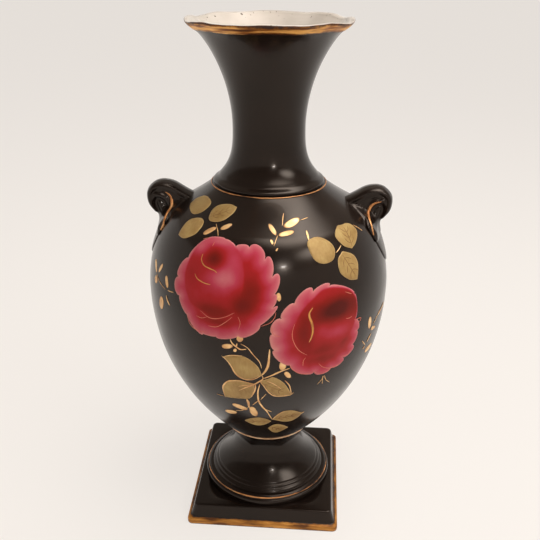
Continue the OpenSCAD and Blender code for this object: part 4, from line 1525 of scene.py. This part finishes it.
bud_curls = [
    ([(23.5, 123), (22, 120.5), (22, 118), (23, 114.5), (23.5, 110.5), (23, 106.5), (22, 103.5)], 1.4),
    ([(-29, 148), (-29, 145), (-27, 142.5), (-23.5, 141.5), (-21, 141), (-19.5, 140)], 0.7),
    ([(-31, 137), (-29.5, 135), (-27, 134), (-24.5, 133.5), (-22, 133.5)], 0.6)]
petal_line_share = 0.6
for name, lines, gold, share in (
        ("rose_lines", rose_lines, pink_gold, petal_line_share), ("bud_curls", bud_curls, deep_gold, 1)):
    piece = laid_on(name, [stroke(places, width * share) for places, width in lines], gold)

# %% [markdown]
# The stems join the leaves, and short strokes make the thorns, tendrils and small twigs of the sprigs, in
# bright gold.

# %% Stems
stems = [
    ([(1.5, 83.5), (3.5, 87.5), (4.5, 92), (5, 101)], 1.4),
    ([(2, 81), (6, 83.5), (10.5, 86.5), (14, 88)], 1.0),
    ([(1.5, 88.5), (0.5, 93), (-2.5, 98), (-4.5, 101.5), (-7.5, 103.5)], 0.5),
    ([(0.5, 76.5), (-0.5, 70.5), (-0.5, 63), (1, 57.5), (4, 51), (7, 41.5)], 1.1),
    ([(-0.5, 62.5), (-4, 57.5)], 0.6), ([(0.5, 63), (3.5, 69)], 0.4), ([(3, 54), (6.5, 51)], 0.7),
    ([(1.5, 83.5), (2, 81), (0.5, 79), (-2.5, 76), (-6.5, 73), (-10, 70)], 0.9),
    ([(-3, 76), (-6, 75), (-10, 73.5)], 0.5),
    ([(-2, 76.5), (-8, 78), (-12, 77.5), (-15, 76), (-17.5, 72.5), (-18.5, 69), (-18.5, 61.5)], 0.9),
    ([(-1.5, 76), (-2, 71.5), (-4, 65.5)], 0.9), ([(-6.5, 63), (-6, 59.5), (-6, 54.5)], 1.5),
    ([(-16.5, 94), (-14.5, 92), (-12.5, 88.5), (-11, 84), (-9, 81), (-5.5, 79.5), (-2, 80.5),
      (1.5, 83.5)], 0.8),
    ([(-15, 94), (-11.5, 95.5), (-7, 96)], 0.5),
    ([(0.5, 79), (2.5, 75), (4.5, 70.5), (7.5, 67), (11.5, 66.5), (15.5, 67), (17, 69)], 0.7),
    ([(12, 79.5), (14.5, 75), (16, 67.5)], 0.7), ([(3.5, 79.5), (7, 77), (11, 72.5)], 0.4),
    ([(-12, 105.5), (-11, 103), (-9, 101), (-7.5, 100), (-5, 100.5)], 0.9),
    ([(7, 41.5), (9.5, 46), (12.5, 50), (15.5, 51)], 0.6), ([(24.5, 45), (26.5, 46.5)], 0.6),
    ([(-23.5, 62), (-19, 62)], 0.4), ([(-9, 103.5), (-9.5, 101)], 0.8),
    ([(-14.5, 49), (-10.5, 50.5), (-6.5, 54.5)], 0.5), ([(27, 164), (26.5, 161), (26, 158)], 1.2),
    ([(43.5, 151.5), (41.5, 150), (39, 148.5)], 0.5), ([(60, 159), (62.5, 156), (64.5, 153.5)], 0.6),
    ([(-30, 166), (-26.5, 162.5), (-24, 159)], 0.45), ([(15.5, 176.5), (14, 172.5), (13, 168.5)], 0.5),
    ([(26, 171), (32.5, 172)], 0.4), ([(7, 156), (9.5, 162.5)], 0.4),
    ([(-47, 122), (-45.5, 122), (-42.5, 122.5)], 0.5), ([(-60, 126), (-55, 123), (-49, 121.5)], 0.4),
    ([(-48, 118.5), (-47, 116), (-45, 114)], 1.2), ([(75.5, 105), (72, 103.5), (66, 102)], 1.8),
    ([(66, 102), (62, 98.5)], 0.6), ([(61.5, 92.5), (58.5, 88.5)], 1.4), ([(57.5, 86.5), (56, 85)], 0.9),
    ([(53.5, 92), (57.5, 87)], 0.6), ([(31.5, 78), (31, 75.5), (29, 72)], 0.35),
    ([(32, 78), (33.5, 74), (36.5, 70.5)], 0.35), ([(31, 78), (32, 71)], 0.35)]
piece = laid_on("stems", [stroke(places, width) for places, width in stems], bright_gold)

# %% [markdown]
# The berries and small leaves are single touches of a loaded brush. Each could be drawn as a patch of its
# own, but they are all alike: one plump drop is modelled flat, and a tree sets a copy of it on each
# point, with the length, width and direction of that touch.

# %% Brush dabs
upper_side = [(-0.44, 0.28), (-0.25, 0.45), (0.02, 0.5), (0.28, 0.42), (0.44, 0.22)]
lower_side = [(x, -y) for x, y in reversed(upper_side)]
drop_line = through([(-0.5, 0)] + upper_side + [(0.5, 0)] + lower_side, True, 3)
drop_sizes, drop_edges = (1, 0.8, 0.5), (1.0, 0.55, 0.1)
count = len(drop_line)
drop_mesh = new_mesh(
    "drop", [(x * size * MM, y * size * MM, 0) for size in drop_sizes for x, y in drop_line],
    faces=quads(count, 0, count) + quads(count, count, 2 * count) + [tuple(range(2 * count, 3 * count))])
keep_values(drop_mesh, "edge", [edge for edge in drop_edges for _ in drop_line])
drop = bpy.data.objects.new("drop", drop_mesh)

dabbing, given = new_tree("brush_dabs", ("Drop", "Object", None), ("Material", "Material", None))
dab_points = geo(dabbing, "InstanceOnPoints", {
    "Points": geo(dabbing, "MeshToPoints", {"Mesh": given["Geometry"]}),
    "Instance": object_shape(dabbing, given["Drop"]),
    "Rotation": joined(dabbing, z=point_value(dabbing, "turn")),
    "Scale": joined(dabbing, point_value(dabbing, "long"), point_value(dabbing, "wide"), 1.0)})
close_tree(dabbing, dab_points, given["Material"])
print("%s: %d nodes" % (dabbing.name, len(dabbing.nodes)))

# %% [markdown]
# A touch is written as the brush makes it: where it starts, where it ends, and its width in millimetres.
# The drops are set on their flat points first, and the tree that lays paint then rolls them all onto the
# wall.

# %% Berries
dabs = [
    (-33.5, 158, -28.5, 164, 3.2), (-25, 163.5, -19.5, 168, 2.9), (4.5, 170, 8.5, 162.5, 2.5),
    (14, 167.5, 26, 172.5, 4.2), (10, 162.5, 19.5, 164.5, 3.0), (5.5, 160, 6.5, 157, 1.3),
    (8, 153.5, 9, 155, 0.8), (-65, 132, -60, 126, 2.6), (-55, 133.5, -58, 127.5, 2.2),
    (-59.5, 124.5, -60.5, 120, 4.2), (-50, 129, -47.5, 123, 2.9), (-52, 115.5, -54, 107.5, 4.8),
    (57.5, 105.5, 58.5, 97.5, 3.4), (60, 96.5, 66, 94.5, 2.3), (60, 81, 68, 81, 4.6),
    (-7.5, 109, -8, 104.5, 3.6), (-16, 100, -11, 101.5, 2.9), (-10.5, 98, -9.5, 100, 1.8),
    (10.5, 93, 11, 86.5, 3.6), (12, 85.5, 14.5, 81, 2.8), (-15.5, 55.5, -7, 52, 4.4),
    (-22.5, 44, -14.5, 47, 4.4), (-4.5, 55.5, -3, 45, 4.4), (8.5, 132.5, 9, 128, 2.4)]
dab_lift, dab_thickness = 0.09, 0.12
touches = []
for deg0, up0, deg1, up1, width in dabs:
    meridian = (deg0 + deg1) / 2
    (x0, y0), (x1, y1) = beside([(deg0, up0), (deg1, up1)], meridian)
    touches.append({
        "place": ((x0 + x1) / 2 * MM, (y0 + y1) / 2 * MM, 0),
        "long": math.hypot(x1 - x0, y1 - y0), "wide": width, "turn": math.atan2(y1 - y0, x1 - x0),
        "meridian": math.radians(meridian), "lift": dab_lift * MM})
touch_mesh = new_mesh("touches", [touch["place"] for touch in touches])
for key in ("long", "wide", "turn", "meridian", "lift"):
    keep_values(touch_mesh, key, [touch[key] for touch in touches])
flat_dabs = baked("flat_dabs", touch_mesh, dabbing, {"Drop": drop, "Material": bright_gold})
berries = on_wall("berries", flat_dabs.data, bright_gold, dab_thickness)
bpy.data.objects.remove(flat_dabs)
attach(berries, "root")
